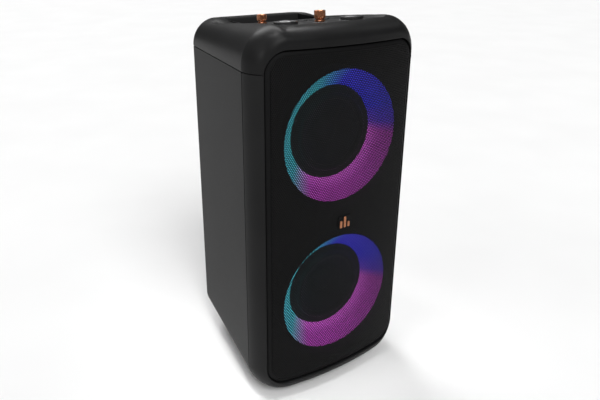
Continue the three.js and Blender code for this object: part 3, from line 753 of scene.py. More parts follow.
def make_cabinet_shell():
    path = Path(False, CAP_SEAM_Z - SEAM / 2, side_steps=24, arc_steps=20, edge_steps=28)
    columns = len(path.side)
    seam, start = side_seam_rows(path, SEAM / 2, False)
    taper = path.points(row_range(start, 2, 48, columns))
    back = path.points(row_range(2, 3, 10, columns))
    last = path.points(np.full((1, columns), 3.0))[0]
    rows = [*seam[::-1], *taper, *back, last, back_fan(path)]
    piece = skin_piece("cabinet_shell_skin", rows, False, SIDE)
    return settle(piece, "cabinet", "side_plastic", "cabinet_shell")


def make_top_housing():
    path = Path(True, CAP_SEAM_Z + SEAM / 2, side_steps=3, arc_steps=30, edge_steps=48)
    columns = len(path.side)
    front, start = front_edge_rows(path, 16)
    lip = path.points(row_range(start, 1, 26, columns))
    fall = path.points(row_range(1, 1.04, 10, columns))
    taper = path.points(row_range(1.04, 2, 60, columns))
    back = path.points(row_range(2, 3, 10, columns))
    last = path.points(np.full((1, columns), 3.0))[0]
    rows = [*front[:-1], *lip, *fall, *taper, *back, last, back_fan(path)]
    piece = skin_piece("top_housing_shell", rows, True, HOUSING)
    return settle(piece, "cabinet", "housing_plastic", "top_housing")


# ---- Places taken from the frame ----
def joint(name):
    return next(j for j in frame["joints"] if j["name"] == name)


DECK_PLACE = Vector(joint("volume_knob_turn")["pos_m"])
DECK_AXIS = Vector(joint("volume_knob_turn")["axis"]).normalized()
DECK_TURN = Vector((0, 0, 1)).rotation_difference(DECK_AXIS).to_matrix().to_4x4()


def on_deck(x, y, lift=0.0):
    """The control deck's own frame at a place on it, in millimetres."""
    fall = (y * MM - DECK_PLACE.y) * DECK_AXIS.y / DECK_AXIS.z
    place = Vector((x * MM, y * MM, DECK_PLACE.z - fall))
    return Matrix.Translation(place + DECK_AXIS * lift * MM) @ DECK_TURN


def lifted(height):
    return Matrix.Translation((0, 0, height * MM))


def facing_back(x, y, z):
    """A frame whose Z axis points back, along +Y, and whose X axis is the frame's +X."""
    return Matrix.Translation(Vector((x, y, z)) * MM) @ Matrix.Rotation(-PI / 2, 4, "X")


def upright(y):
    """A frame for plates seen from the front: X across, Y up, its middle plane at y."""
    return Matrix.Translation(Vector((0, y, 0)) * MM) @ Matrix.Rotation(PI / 2, 4, "X")


def centre_of(node):
    low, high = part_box(node)
    return (low + high) / 2 / MM


def half_width_of(node):
    low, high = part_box(node)
    return (high.x - low.x) / 2 / MM


# ---- Openings in the skin ----
FLARE_END = 70


def flared_cutter(outline, to_space, axis, bottom, radius):
    """A closed cutter whose mouth rounds over into the surface. to_space gives points from outline
    points and their rise over the surface; bottom is where it ends along that axis."""
    normal = outward(outline)
    rows = []
    for angle in np.radians(np.arange(0, FLARE_END + 1, 5)):
        offset = radius * (1 - math.cos(angle))
        rows.append(to_space(outline + normal * offset, -radius * (1 - math.sin(angle))))
    run = 0.3 * radius
    end = math.radians(FLARE_END)
    offset = radius * (1 - math.cos(end)) + run
    rise = radius * (math.sin(end) - 1) + run / math.tan(end)
    rows.append(to_space(outline + normal * offset, rise))
    rows.append(to_space(outline + normal * offset, rise + 10))
    lowest = rows[0].copy()
    lowest[:, axis] = bottom
    return closed_rows("cutter", [lowest, *rows], None)


def closed_rows(name, rows, material, sharp=8.0):
    """A closed body through rings of points, with a flat face at each end."""
    count = len(rows[0])
    faces = grid_faces(len(rows), count, closed=True)
    faces.append(list(range(count)))
    faces.append(list(range((len(rows) - 1) * count, len(rows) * count)))
    return mesh_from(name, np.concatenate(rows), faces, material, sharp)


def over_deck(outline, rise):
    x, y = outline[:, 0], outline[:, 1]
    return np.stack([x, y, deck_height(x, y) + rise], axis=1)


def over_back(outline, rise):
    return np.stack([outline[:, 0], np.full(len(outline), HALF_DEPTH + rise), outline[:, 1]], axis=1)


def cut_top_openings(housing):
    wall = 3
    outline = rounded_rectangle(POCKET["half"], POCKET["low"], POCKET["high"], POCKET["corner"], 16)
    wider = outline + outward(outline) * wall
    rim = over_deck(wider, -SKIN / 2)
    base = rim.copy()
    base[:, 2] = POCKET_FLOOR - wall
    combine(housing, closed_rows("tub", [base, rim], HOUSING), "UNION")
    combine(housing, flared_cutter(outline, over_deck, 2, POCKET_FLOOR, 2.6), "DIFFERENCE")
    recess = rounded_rectangle(PANEL["half"], PANEL["low"], PANEL["high"], PANEL["corner"], 12)
    combine(housing, flared_cutter(recess, over_deck, 2, PANEL_FLOOR, 0.5), "DIFFERENCE")


# ---- Handle, deck and controls ----
BAR = {"front": 102, "bottom": 534, "round": 7}


def make_carry_handle():
    """The bar's section is drawn back to front and upward, then run across the pocket."""
    back = POCKET["high"] - 0.4
    front = BAR["front"]
    section = []
    ribs, steps = 4, 48
    for i in range(steps + 1):
        share = i / steps
        y = mix(back - 3, front + 3, share)
        groove = 0.35 * (1 - math.cos(2 * PI * ribs * share))
        section.append((y, deck_height(0.0, y) - 0.5 - groove))
    corner = BAR["round"]
    section += [(front + 3 + x, deck_height(0.0, front) - 3.5 + z) for x, z in arc(0, 0, 3, 100, 180)]
    section += [(y, z) for y, z in arc(front + corner, BAR["bottom"] + corner, corner, 180, 270)]
    section += [(y, z) for y, z in arc(back - corner, BAR["bottom"] + corner, corner, 270, 360)]
    section += [(back - 3 + x, deck_height(0.0, back) - 3.5 + z) for x, z in arc(0, 0, 3, 0, 80)]
    length = 2 * (POCKET["half"] - 0.4)
    across = Matrix(((0, 0, 1, 0), (1, 0, 0, 0), (0, 1, 0, 0), (0, 0, 0, 1)))
    piece = plate("handle_bar", [section], length, 1.2, GRIP, across)
    settle(piece, "cabinet", "grip_rubber", "carry_handle")


KNOB_LIFT = 0.8


def copper_knob(name, body, radius, height):
    """A fluted copper knob with a waist above its skirt and a pointer on its dished top."""
    matrix = on_deck(*(Vector(joint(body + "_turn")["pos_m"]) / MM).xy)
    base, top = KNOB_LIFT, KNOB_LIFT + height
    profile = [(0, base), *arc(radius - 1, base + 0.5, 0.5, -90, 0, 3), (radius - 0.5, base + 1.6)]
    profile += arc(radius - 1.1, base + 1.6, 0.6, 0, 80, 3)
    profile += [(radius - 2.0, base + 2.8), (radius - 2.0, base + 3.6)]
    profile += [(radius - 0.9, base + 4.3), (radius - 0.15, base + 5.2), (radius, base + 5.8)]
    profile += [(radius, mix(base + 5.8, top - 1.4, i / 4)) for i in range(1, 5)]
    profile += arc(radius - 1.2, top - 1.2, 1.2, 0, 90, 5)
    profile += [(radius - 2.2, top - 0.1), (radius - 2.9, top - 0.6), (0, top - 0.75)]
    flutes = (18, 0.55, base + 5.5, top - 1.0)
    knob = lathe(name + "_body", profile, COPPER, matrix, 216, 25, flutes)
    shaft = lathe(name + "_shaft", [(0, -4), (3, -4), (3, base + 0.3), (0, base + 0.3)], STEEL, matrix, 32)
    line = rounded_rectangle(0.55, 1.2, radius - 1.3, 0.5, 4)
    pointer = plate(name + "_pointer", [line], 0.5, 0.12, GRIP, matrix @ lifted(top - 0.5))
    piece = join(name, [knob, shaft, pointer])
    settle(piece, body, "copper_trim", body)


def tone_dial(name, body):
    """A low black dial: fluted skirt, sunken ring and a domed cap with a pointer mark; the cap's lighter grey is a
    painted highlight.
    """
    radius = half_width_of(body)
    top = KNOB_LIFT + 5.5
    matrix = on_deck(*(Vector(joint(body + "_turn")["pos_m"]) / MM).xy)
    profile = [(0, KNOB_LIFT), *arc(radius - 0.6, KNOB_LIFT + 0.6, 0.6, -90, 0, 3)]
    profile += [(radius, 1.8), (radius, 2.6), (radius, 3.6)]
    profile += arc(radius - 1.4, 3.6, 1.4, 0, 80, 5)
    profile += [(radius - 4.6, 4.5), (radius - 5.4, 3.9), (radius - 6.6, 3.6), (0, 3.6)]
    skirt = lathe(name + "_skirt", profile, DIAL, matrix, 240, 25, (30, 0.4, 1.5, 3.9))
    cap_radius = radius - 7.4
    cap = [(0, 3.3), (cap_radius, 3.3), (cap_radius, 4.3)]
    for a in np.linspace(0, PI / 2, 12)[1:]:
        cap.append((cap_radius * math.cos(a), 4.3 + (top - 4.3) * math.sin(a)))
    dome = lathe(name + "_cap", cap, DIAL_CAP_PAINTED_HIGHLIGHT, matrix, 72)
    shaft = lathe(name + "_shaft", [(0, -4), (3, -4), (3, 1.2), (0, 1.2)], STEEL, matrix, 32)
    line = rounded_rectangle(0.6, radius - 4.4, radius - 1.6, 0.4, 4)
    mark = plate(name + "_mark", [line], 0.3, 0.08, MARK, matrix @ lifted(4.86))
    piece = join(name, [skirt, dome, shaft, mark])
    settle(piece, body, "dial_plastic", body)


def circle(radius, steps=32, x=0.0, y=0.0):
    angles = [i / steps * 2 * PI for i in range(steps)]
    return [(x + radius * math.cos(a), y + radius * math.sin(a)) for a in angles]


def bar_loop(x, y, half_width, half_length, turn=0.0):
    """A thin rectangle round (x, y), its length turned by that angle from +Y."""
    cos, sin = math.cos(turn), math.sin(turn)
    corners = [(a * half_width, b * half_length) for a, b in ((-1, -1), (1, -1), (1, 1), (-1, 1))]
    return [(x + a * cos - b * sin, y + a * sin + b * cos) for a, b in corners]


def arc_band(radius, thick, start, end, steps=12):
    angles = [math.radians(mix(start, end, i / steps)) for i in range(steps + 1)]
    far, near = radius + thick / 2, radius - thick / 2
    outer = [(far * math.cos(a), far * math.sin(a)) for a in angles]
    inner = [(near * math.cos(a), near * math.sin(a)) for a in reversed(angles)]
    return outer + inner


def icon_loops(name):
    """Outlines of a plain sign for each button, about 4 mm across."""
    if name == "power":
        return [[arc_band(1.6, 0.4, 125, 415)], [bar_loop(0, 1.3, 0.2, 0.9)]]
    if name == "pairing":
        return [[circle(0.45, 20)], [arc_band(1.2, 0.35, -50, 50)], [arc_band(2.0, 0.35, -50, 50)]]
    if name == "lights":
        loops = [[circle(0.95, 24), circle(0.62, 24)]]
        for a in np.arange(8) * PI / 4:
            loops.append([bar_loop(1.85 * math.cos(a), 1.85 * math.sin(a), 0.18, 0.42, a - PI / 2)])
        return loops
    if name == "mode":
        bars = ((-1.3, 1.4), (0, 3.0), (1.3, 2.2))
        return [[bar_loop(x, height / 2 - 1.5, 0.35, height / 2)] for x, height in bars]
    return [[circle(1.15, 28, x), circle(0.8, 28, x)] for x in (-0.8, 0.8)]


def make_button(name):
    body = name + "_button"
    centre = centre_of(body)
    half_width = half_width_of(body)
    matrix = on_deck(centre.x, centre.y)
    key_outline = rounded_rectangle(half_width, -4, 4, 1.6, 8)
    lift = lifted(-0.9)
    key = plate(name + "_key", [key_outline], 4.2, 0.5, DIAL, matrix @ lift)
    signs = []
    for i, loops in enumerate(icon_loops(name)):
        top = lifted(1.22)
        signs.append(plate(f"{name}_sign_{i}", loops, 0.12, 0.02, MARK, matrix @ top, 1))
    piece = join(name + "_key_cap", [key, *signs])
    settle(piece, body, "dial_plastic", body)


BUTTON_NAMES = ("power", "pairing", "lights", "mode", "link")
TICKS = 11
SWEEPS = {"volume_knob": 0, "gain_knob": 150, "bass_dial": 140, "treble_dial": 140}
SHAFT_HOLE, KEY_HOLE_HALF_WIDTH, KEY_HOLE_HALF_LENGTH = 3.6, 6.9, 4.4


def make_control_panel():
    holes = []
    ticks = []
    centre_y = (PANEL["low"] + PANEL["high"]) / 2
    flat = on_deck(0, centre_y)
    stretch = DECK_AXIS.z

    def local(x, y):
        return x, (y - centre_y) / stretch

    for body, sweep in SWEEPS.items():
        radius = half_width_of(body)
        place = Vector(joint(body + "_turn")["pos_m"]) / MM
        x, y = local(place.x, place.y)
        holes.append(circle(SHAFT_HOLE, 32, x, y))
        ring = arc_band(radius + 1.6, 0.35, 0, 359, 72)
        ticks.append([[(x + a, y + b) for a, b in ring]])
        if sweep:
            for i in range(TICKS):
                angle = PI / 2 + math.radians(mix(-sweep, sweep, i / (TICKS - 1)))
                reach = radius + 3.4
                long = 1.3 if i in (0, TICKS // 2, TICKS - 1) else 0.8
                a, b = x + reach * math.cos(angle), y + reach * math.sin(angle)
                ticks.append([bar_loop(a, b, 0.2, long, angle - PI / 2)])
    for name in BUTTON_NAMES:
        centre = centre_of(name + "_button")
        x, y = local(centre.x, centre.y)
        corners = rounded_rectangle(KEY_HOLE_HALF_WIDTH, -KEY_HOLE_HALF_LENGTH, KEY_HOLE_HALF_LENGTH, 1.9, 8)
        holes.append([(x + a, y + b) for a, b in corners])
    low, high = local(0, PANEL["low"])[1], local(0, PANEL["high"])[1]
    outline = rounded_rectangle(PANEL["half"] - 0.4, low + 0.4, high - 0.4, PANEL["corner"] - 0.4, 12)
    down = lifted(-PANEL_THICK / 2 - 0.05)
    panel = plate("panel", [outline, *holes], PANEL_THICK, 0.35, DECK, flat @ down)
    up = flat @ lifted(-0.02)
    prints = [plate(f"tick_{i}", loops, 0.14, 0.02, MARK, up, 1) for i, loops in enumerate(ticks)]
    piece = join("control_deck_panel", [panel, *prints])
    settle(piece, "cabinet", "deck_plastic", "control_panel")


# ---- Grille and badge ----
HOLE_PITCH = 3.0
HOLE_WEB = 1.0
SHEET_THICK = 0.8
GRILLE_GAP = 1.0
ROLL_DEPTH, ROLL_WIDTH = 4, 14
HOLE_MARGIN = 5.0
RIM_WIDTH = 6.0


def grille_y(x, inset):
    """The front of the grille at x, that far in from its edge: bowed, and rolled back at the edge."""
    across = (1 - np.clip(inset / ROLL_WIDTH, 0, 1)) ** 1.6
    roll = ROLL_DEPTH * (1 - np.sqrt(np.maximum(1 - across**2, 0)))
    return GRILLE_FRONT + GRILLE_BOW * (x / FRONT_HALF_WIDTH) ** 2 + roll


def hexagons():
    """Corners of every hexagonal hole, shaped (rows, columns, 6, 3), and which holes are used."""
    row_step = HOLE_PITCH * math.sqrt(3) / 2
    reach = (HOLE_PITCH - HOLE_WEB) / math.sqrt(3)
    columns = int(APERTURE_HALF / HOLE_PITCH) + 1
    rows = int((APERTURE_HIGH - APERTURE_LOW) / row_step) + 1
    column, row = np.meshgrid(np.arange(-columns, columns + 1), np.arange(rows))
    x = (column + 0.5 * (row % 2)) * HOLE_PITCH
    z = APERTURE_LOW + row * row_step + row_step / 2
    flat = np.stack([x, np.zeros_like(x), z], axis=-1)
    used = aperture_distance(flat) < -(GRILLE_GAP + HOLE_MARGIN)
    angles = np.radians(30 + 60 * np.arange(6))
    corner_x = x[..., None] + reach * np.cos(angles)
    corner_z = z[..., None] + reach * np.sin(angles)
    corners = np.stack([corner_x, np.zeros_like(corner_x), corner_z], axis=-1)
    inset = -aperture_distance(corners) - GRILLE_GAP
    corners[..., 1] = grille_y(corner_x, inset)
    return corners, used


def web_faces(index, used, j):
    """The web from row j of holes to its neighbours: beside it, and in the row above on both sides."""
    shift = j % 2
    width = used.shape[1]
    here = slice(1, -1)
    right = slice(1 + shift, width - 1 + shift)
    left = slice(shift, width - 2 + shift)
    own, own_used = index[j, here], used[j, here]
    beside, beside_used = index[j, 2:], used[j, 2:]
    above, above_used = index[j + 1, right], used[j + 1, right]
    over, over_used = index[j + 1, left], used[j + 1, left]
    faces = web(own_used & beside_used, own[:, 5], beside[:, 3], beside[:, 2], own[:, 0])
    faces += web(own_used & above_used, own[:, 0], above[:, 4], above[:, 3], own[:, 1])
    faces += web(own_used & over_used, own[:, 1], over[:, 5], over[:, 4], own[:, 2])
    faces += web(own_used & beside_used & above_used, own[:, 0], beside[:, 2], above[:, 4])
    faces += web(own_used & above_used & over_used, own[:, 1], above[:, 3], over[:, 5])
    return faces


def make_grille_sheets():
    """The perforated sheet, in three parts that are each light enough to export."""
    corners, used = hexagons()
    rows = len(used)
    index = np.arange(corners[..., 0].size).reshape(corners.shape[:-1])
    parts = ("lower", "middle", "upper")
    edges = [0, rows // 3, 2 * rows // 3, rows - 1]
    for part, first, last in zip(parts, edges, edges[1:]):
        faces = []
        for j in range(first, last):
            faces += web_faces(index, used, j)
        kept, numbers = np.unique(np.concatenate([np.ravel(f) for f in faces]), return_inverse=True)
        points = corners.reshape(-1, 3)[kept]
        cursor = 0
        numbered = []
        for face in faces:
            numbered.append(numbers[cursor : cursor + len(face)].tolist())
            cursor += len(face)
        sheet = mesh_from("grille_sheet_" + part, points, numbered, GRILLE, 40, 0)
        thicken(sheet, SHEET_THICK, 40)
        settle(sheet, "cabinet", "grille_metal", "front_grille")


def web(kept, *corners):
    return np.stack(corners, axis=1)[kept].tolist()


def dense_loop(inset, across_steps=36, up_steps=60, arc_steps=12):
    """The grille's outline, that far in from its edge, with points along its straight sides too."""
    shrink = GRILLE_GAP + inset
    half = APERTURE_HALF - shrink
    low, high = APERTURE_LOW + shrink, APERTURE_HIGH - shrink
    corner = APERTURE_CORNER - shrink
    arcs = rounded_rectangle(half, low, high, corner, arc_steps).reshape(4, arc_steps + 1, 2)
    loop = []
    for i, steps in enumerate((up_steps, across_steps, up_steps, across_steps)):
        loop.append(arcs[i])
        start, end = arcs[i][-1], arcs[(i + 1) % 4][0]
        share = np.arange(1, steps)[:, None] / steps
        loop.append(mix(start, end, share))
    return np.concatenate(loop)


def make_grille_rim():
    """The folded border that frames the perforated sheet."""
    front, back = [], []
    for share in np.linspace(0, 1, 14) ** 1.6:
        inset = share * RIM_WIDTH
        loop = dense_loop(inset)
        y = grille_y(loop[:, 0], np.full(len(loop), inset))
        front.append(np.stack([loop[:, 0], y - 0.2, loop[:, 1]], axis=1))
        deep = dense_loop(max(inset, 1.0))
        y = grille_y(deep[:, 0], np.full(len(deep), inset))
        back.append(np.stack([deep[:, 0], y + 1.1, deep[:, 1]], axis=1))
    rows = front + back[::-1] + front[:1]
    faces = grid_faces(len(rows), len(rows[0]), closed=True)
    # The rim's darker metal is painted shade along the grille's edge.
    piece = mesh_from("grille_rim", np.concatenate(rows), faces, RIM, 30)
    settle(piece, "cabinet", "grille_metal", "front_grille")


def make_badge():
    low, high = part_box("grille_badge")
    centre = (low + high) / 2 / MM
    width, height = (high.x - low.x) / MM, (high.z - low.z) / MM
    back = high.y / MM
    outline = rounded_rectangle(width / 2, -height / 2, height / 2, 3, 8)
    base = plate("badge_base", [outline], 1.2, 0.3, RIM, upright(back - 0.6))
    bars = []
    pitch = width / 3.4
    for i, tall in enumerate((0.58, 0.88, 0.42)):
        x = (i - 1) * pitch
        bottom = -height * 0.44
        outline = rounded_rectangle(pitch * 0.3, bottom, bottom + height * tall, 1.2, 6)
        outline = outline + np.array([x, 0])
        bars.append(plate(f"badge_bar_{i}", [outline], 1.6, 0.4, COPPER, upright(back - 1.6)))
    piece = join("badge_bars", [base, *bars])
    piece.data.transform(Matrix.Translation((0, 0, centre.z * MM)))
    settle(piece, "cabinet", "copper_trim", "grille_badge")


# ---- Drivers ----
# Depths run back from the front plane of the light ring.
RING_INNER, RING_DEPTH, RING_LIP = 70, 27, 1.4
FLANGE = {"outer": 69.3, "front": 26.8, "back": 29.7, "screws": 64.6}
SURROUND = {"inner": 48.8, "middle": 54, "roll": 4.6, "plane": 25.5, "outer": 66}
CONE_EDGE, CONE_FRONT, CONE_NECK, CONE_NECK_DEPTH = 48.3, 26.5, 18, 46
CONE_RIBS, RIB_DEPTH, CONE_SAG = 5, 0.35, 1.6
FORMER_INNER, FORMER_OUTER, FORMER_END = 15.2, 16.2, 84
PAPER = 1.5


def make_driver(level, strength):
    """One woofer and its lit ring."""
    ring_low, ring_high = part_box("light_ring_" + level)
    centre_z = (ring_low.z + ring_high.z) / 2 / MM
    matrix = facing_back(0, ring_low.y / MM, centre_z)
    make_light_ring(level, matrix, ring_glow("ring_light_" + level, centre_z, strength))
    make_basket(level, matrix)
    make_surround(level, matrix)
    make_cone(level, matrix)


def make_light_ring(level, matrix, glow):
    outer = half_width_of("light_ring_" + level)
    inner, depth = RING_INNER, RING_DEPTH
    back = depth + 2.6
    funnel = [(mix(outer - RING_LIP, inner, s), depth * s**0.92) for s in np.linspace(0, 1, 13)]
    behind = [(inner, back), (inner + 2, back), (inner + 2, depth + 1), (outer - RING_LIP, 2.2)]
    diffuser = lathe("ring_diffuser_" + level, funnel + behind, glow, matrix, 144, 25)
    settle(diffuser, "cabinet", "ring_light", "light_ring_" + level)
    profile = [(outer - 1.3, 2.4), (outer - 1.3, 0.2), (outer - 1.0, 0), (outer, 0.1)]
    profile += [(outer, back), (outer - 1.3, back)]
    collar = lathe("ring_collar_" + level, profile, BAFFLE, matrix, 144, 25)
    settle(collar, "cabinet", "ring_light", "light_ring_" + level)


def make_basket(level, matrix):
    """The steel frame with the eight screws in its flange."""
    outer, front, back = FLANGE["outer"], FLANGE["front"], FLANGE["back"]
    bowl = [(outer, front), (outer, back), (60.4, back), (60.4, 42), (40, 76), (40, 79), (22, 79), (22, 76)]
    bowl += [(36.6, 76), (57, 42), (57, 30.5), (57, 27.3), (58, front)]
    basket = lathe("basket", bowl, BASKET, matrix, 96)
    heads = []
    head = [(0, -0.9), *arc(2.2, -0.3, 0.6, -90, 0, 3), (2.8, 0.4), (0, 0.4)]
    for i in range(8):
        angle = (i + 0.5) / 8 * 2 * PI
        reach = FLANGE["screws"]
        seat = Vector((reach * math.cos(angle), reach * math.sin(angle), front - 0.2))
        place = matrix @ Matrix.Translation(seat * MM)
        heads.append(lathe(f"basket_screw_{i}", head, SCREW, place, 24))
    piece = join("woofer_frame_" + level, [basket, *heads])
    settle(piece, "cabinet", "basket_steel", "woofer_basket_" + level)


def make_surround(level, matrix):
    """The rubber roll between the frame and the cone."""
    inner, middle, outer = SURROUND["inner"], SURROUND["middle"], SURROUND["outer"]
    plane, roll = SURROUND["plane"], SURROUND["roll"]
    profile = [(inner, plane + 0.1), *arc(middle, plane, roll, 180, 360, 14), (60, plane)]
    profile += [(outer, plane), (outer, plane + 1)]
    profile += [*arc(middle, plane + 0.8, roll - 1, 360, 180, 14), (inner, plane + 0.9)]
    piece = lathe("rubber_surround_" + level, profile, RUBBER, matrix, 144)
    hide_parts("surround_" + level)
    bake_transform(piece)
    follow_radius(piece)


def make_cone(level, matrix):
    """The ribbed paper cone with its voice-coil former, and the dust cap."""
    profile = [(CONE_EDGE, CONE_FRONT)]
    for s in np.linspace(0.02, 0.98, 60):
        ripple = RIB_DEPTH * math.sin(s * CONE_RIBS * 2 * PI) ** 2
        sag = CONE_SAG * math.sin(s * PI)
        depth = mix(CONE_FRONT, CONE_NECK_DEPTH, s) + sag - ripple
        profile.append((mix(CONE_EDGE, CONE_NECK, s), depth))
    profile += [(CONE_NECK, CONE_NECK_DEPTH), (FORMER_INNER, CONE_NECK_DEPTH), (FORMER_INNER, FORMER_END)]
    back = CONE_NECK_DEPTH + PAPER
    profile += [(FORMER_OUTER, FORMER_END), (FORMER_OUTER, back), (CONE_NECK, back)]
    for s in np.linspace(0.02, 1, 12):
        depth = mix(back, CONE_FRONT + PAPER, s) + CONE_SAG * math.sin(s * PI)
        profile.append((mix(CONE_NECK, CONE_EDGE, s), depth))
    cone = lathe("paper_cone_" + level, profile, CONE, matrix, 144)
    settle(cone, "cone_" + level, "cone_paper", "cone_" + level)
    dome = [(21 * math.sin(a), 43.4 - 8.4 * math.cos(a)) for a in np.linspace(0, PI / 2, 14)]
    dome += [(20.2 * math.sin(a), 43.9 - 7.6 * math.cos(a)) for a in np.linspace(PI / 2, 0, 14)]
    cap = lathe("dust_dome_" + level, dome, CONE, matrix, 96)
    settle(cap, "cone_" + level, "surround_rubber", "dust_cap_" + level)


def follow_radius(piece):
    """Reads the piece's points in millimetres and sets nothing."""
    co = np.zeros(len(piece.data.vertices) * 3)
    piece.data.vertices.foreach_get("co", co)
    co = co.reshape(-1, 3) / MM


def make_tweeter():
    centre = centre_of("tweeter")
    plane = centre_of("light_ring_upper").y - 29.7 / 2
    matrix = facing_back(0, plane, centre.z)
    profile = [(0, 24.5), (4, 24.9), (9, 26.5), (12, 28.2), (13, 27.2), (14.5, 26.8)]
    profile += [*arc(25, 27.8, 1.0, -90, 0, 4), (26, 29.7), (20, 29.7), (20, 55), (0, 55)]
    piece = lathe("tweeter_unit", profile, BAFFLE, matrix, 96)
    settle(piece, "cabinet", "basket_steel", "tweeter")


# ---- Rear side ----
PORT = {"bore": 27, "tube": 30, "flange": 38, "length": 90}


def make_rear(shell):
    """The recess in the shell, the rear cover in it, and what is screwed or glued to the cover."""
    low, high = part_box("rear_panel")
    half, bottom, top = high.x / MM, low.z / MM, high.z / MM
    front, back = low.y / MM, high.y / MM
    opening = rounded_rectangle(half + 0.3, bottom - 0.3, top + 0.3, 18, 14)
    combine(shell, flared_cutter(opening, over_back, 1, HALF_DEPTH - 12, 0.8), "DIFFERENCE")
    ledge_outer = rounded_rectangle(half + 6, bottom - 6, top + 6, 24, 14)
    ledge_inner = rounded_rectangle(half - 6, bottom + 6, top - 6, 12, 14)
    ledge = plate("rear_ledge", [ledge_outer, ledge_inner], 2.0, 0.2, SIDE, upright(front - 1.4))
    settle(ledge, "cabinet", "side_plastic", "cabinet_shell")

    port = centre_of("bass_port")
    io_low, io_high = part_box("io_panel")
    window = rounded_rectangle(io_high.x / MM - 6, io_low.z / MM + 6, io_high.z / MM - 6, 4, 8)
    screws = [centre_of(f"screw_{a}_{b}") for a in ("upper", "lower") for b in ("left", "right")]
    holes = [circle(PORT["tube"] + 0.5, 72, port.x, port.z), window]
    holes += [circle(2.1, 24, s.x, s.z) for s in screws]
    outline = rounded_rectangle(half, bottom, top, 17.7, 14)
    middle = upright((front + back) / 2)
    panel = plate("rear_cover", [outline, *holes], back - front, 0.5, PANEL_PLASTIC, middle)
    settle(panel, "cabinet", "bezel_plastic", "rear_panel")
    make_bass_port(port, back + 0.3)
    make_rear_screws(screws, back + 0.3)


def make_bass_port(port, face):
    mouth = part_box("bass_port")[1].y / MM
    end = mouth - PORT["length"]
    bore, outside, flange = PORT["bore"], PORT["tube"], PORT["flange"]
    profile = [(bore, end + 1), (bore + 1.5, end), (outside, end), (outside, face)]
    profile += [(flange, face), (flange, mouth - 0.8), (flange - 0.8, mouth)]
    for a in np.linspace(PI / 2, 0, 12):
        profile.append((bore + 7.5 * (1 - math.cos(a)), mouth - 9 + 9 * math.sin(a)))
    tube = lathe("port_tube", profile, SOCKET, facing_back(port.x, 0, port.z), 96)
    settle(tube, "cabinet", "socket_plastic", "bass_port")


def make_rear_screws(screws, face):
    """Cross-head screws, one at each place, their heads on the face."""
    head = [(0, 0), (1.7, 0), (4, 0), (4, 0.6), *arc(3.2, 0.9, 0.8, 0, 90, 4), (0, 1.7)]
    for i, place in enumerate(screws):
        matrix = facing_back(place.x, face, place.z)
        body = lathe(f"screw_head_{i}", head, SCREW, matrix, 36)
        for turn in (0, PI / 2):
            groove = bar_loop(0, 0, 0.45, 2.4, turn)
            cutter = plate("slot", [groove], 1.6, 0.01, SCREW, matrix @ lifted(1.6), 1)
            combine(body, cutter, "DIFFERENCE", 25)
        node = "screw_" + ("upper" if place.z > centre_of("io_panel").z else "lower")
        node += "_left" if place.x < 0 else "_right"
        settle(body, "cabinet", "screw_steel", node)


SOCKET_GROW = 0.4  # how far a socket's opening in the panel is wider than the socket


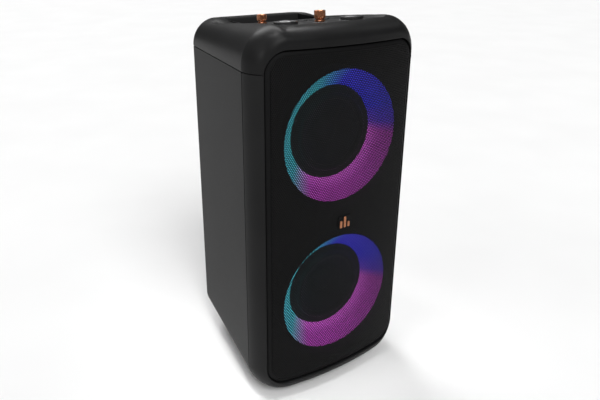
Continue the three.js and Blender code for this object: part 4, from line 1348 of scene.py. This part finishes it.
def make_sockets():
    low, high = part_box("io_panel")
    front, back = low.y / MM, high.y / MM
    mic, aux = centre_of("mic_socket"), centre_of("aux_socket")
    usb, mains = centre_of("usb_socket"), centre_of("mains_inlet")
    holes = [circle(6.5, 40, mic.x, mic.z), circle(4.5, 32, aux.x, aux.z)]
    for node in ("usb_socket", "mains_inlet"):
        box_low, box_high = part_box(node)
        bottom, top = box_low.z / MM - SOCKET_GROW, box_high.z / MM + SOCKET_GROW
        middle = (box_low.x + box_high.x) / 2 / MM
        outline = rounded_rectangle(half_width_of(node) + SOCKET_GROW, bottom, top, 1.2, 5)
        holes.append(outline + np.array([middle, 0]))
    outline = rounded_rectangle(high.x / MM, low.z / MM, high.z / MM, 8, 8)
    panel = plate("socket_panel", [outline, *holes], back - front, 0.3, DECK, upright((front + back) / 2))
    frames = []
    for centre, half_width in ((mic, 10.5), (aux, 8), (usb, 11), (mains, 17)):
        aside = np.array([centre.x, 0])
        outer = rounded_rectangle(half_width, centre.z - 14, centre.z + 14, 3, 6) + aside
        inner = rounded_rectangle(half_width - 0.5, centre.z - 13.5, centre.z + 13.5, 2.6, 6) + aside
        frames.append(plate("socket_frame", [outer, inner], 0.3, 0.05, MARK, upright(back + 0.05), 1))
    settle(join("socket_board", [panel, *frames]), "cabinet", "deck_plastic", "io_panel")

    for node, centre, body, neck, hole, deep in (
        ("mic_socket", mic, 9, 6.2, 3.3, 26),
        ("aux_socket", aux, 6.5, 4.2, 1.8, 16),
    ):
        face = back + 3
        profile = [(0, back - deep), (hole, back - deep), (hole, face - 1), (hole + 0.8, face)]
        profile += [*arc(neck - 0.5, face - 0.5, 0.5, 90, 0, 3), (neck, front - 0.3), (body, front - 0.3)]
        profile += [(body, back - deep - 2), (0, back - deep - 2)]
        jack = lathe(node + "_jack", profile, SOCKET, facing_back(centre.x, 0, centre.z), 64)
        nut = [(neck - 0.2, back + 0.1), (neck + 1.4, back + 0.1), (neck + 1.4, back + 1.6)]
        nut += [(neck + 0.9, back + 2.1), (neck - 0.2, back + 2.1)]
        collar = lathe(node + "_nut", nut, STEEL, facing_back(centre.x, 0, centre.z), 64)
        settle(join(node + "_body", [jack, collar]), "cabinet", "socket_plastic", node)


# ---- Feet ----
def make_feet():
    for side in ("front_left", "front_right", "rear_left", "rear_right"):
        node = "foot_" + side
        centre = centre_of(node)
        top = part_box(node)[1].z / MM
        profile = [(0, 0.6), (6.5, 0.6), (7.3, 0), (11.6, 0), *arc(11.8, 1.2, 1.2, -80, 0, 4)]
        profile += [(13.6, 2.6), (14.4, 3.4), (14.6, top), (0, top)]
        matrix = Matrix.Translation(Vector((centre.x, centre.y, 0)) * MM)
        foot = lathe("rubber_" + node, profile, FOOT, matrix, 64)
        settle(foot, "cabinet", "foot_rubber", node)


make_camera()
make_stage()
make_front_bezel()
SHELL_PIECE = make_cabinet_shell()
cut_top_openings(make_top_housing())
make_carry_handle()
make_control_panel()
copper_knob("copper_volume_knob", "volume_knob", radius=8, height=15.49)
copper_knob("copper_gain_knob", "gain_knob", radius=7, height=13)
tone_dial("black_bass_dial", "bass_dial")
tone_dial("black_treble_dial", "treble_dial")
for button_name in BUTTON_NAMES:
    make_button(button_name)
make_grille_sheets()
make_grille_rim()
make_badge()
make_driver("upper", strength=0.85)
make_driver("lower", strength=1.35)
make_tweeter()
make_rear(SHELL_PIECE)
make_sockets()
make_feet()

ring_glow("ring_light", UPPER_RING_Z, 1.0)
for part in frame["record"]["subparts"]:
    node = frame["nodes"][part["node"]]
    node.data.materials.clear()
    node.data.materials.append(FINISHES[part["material_slot"]])
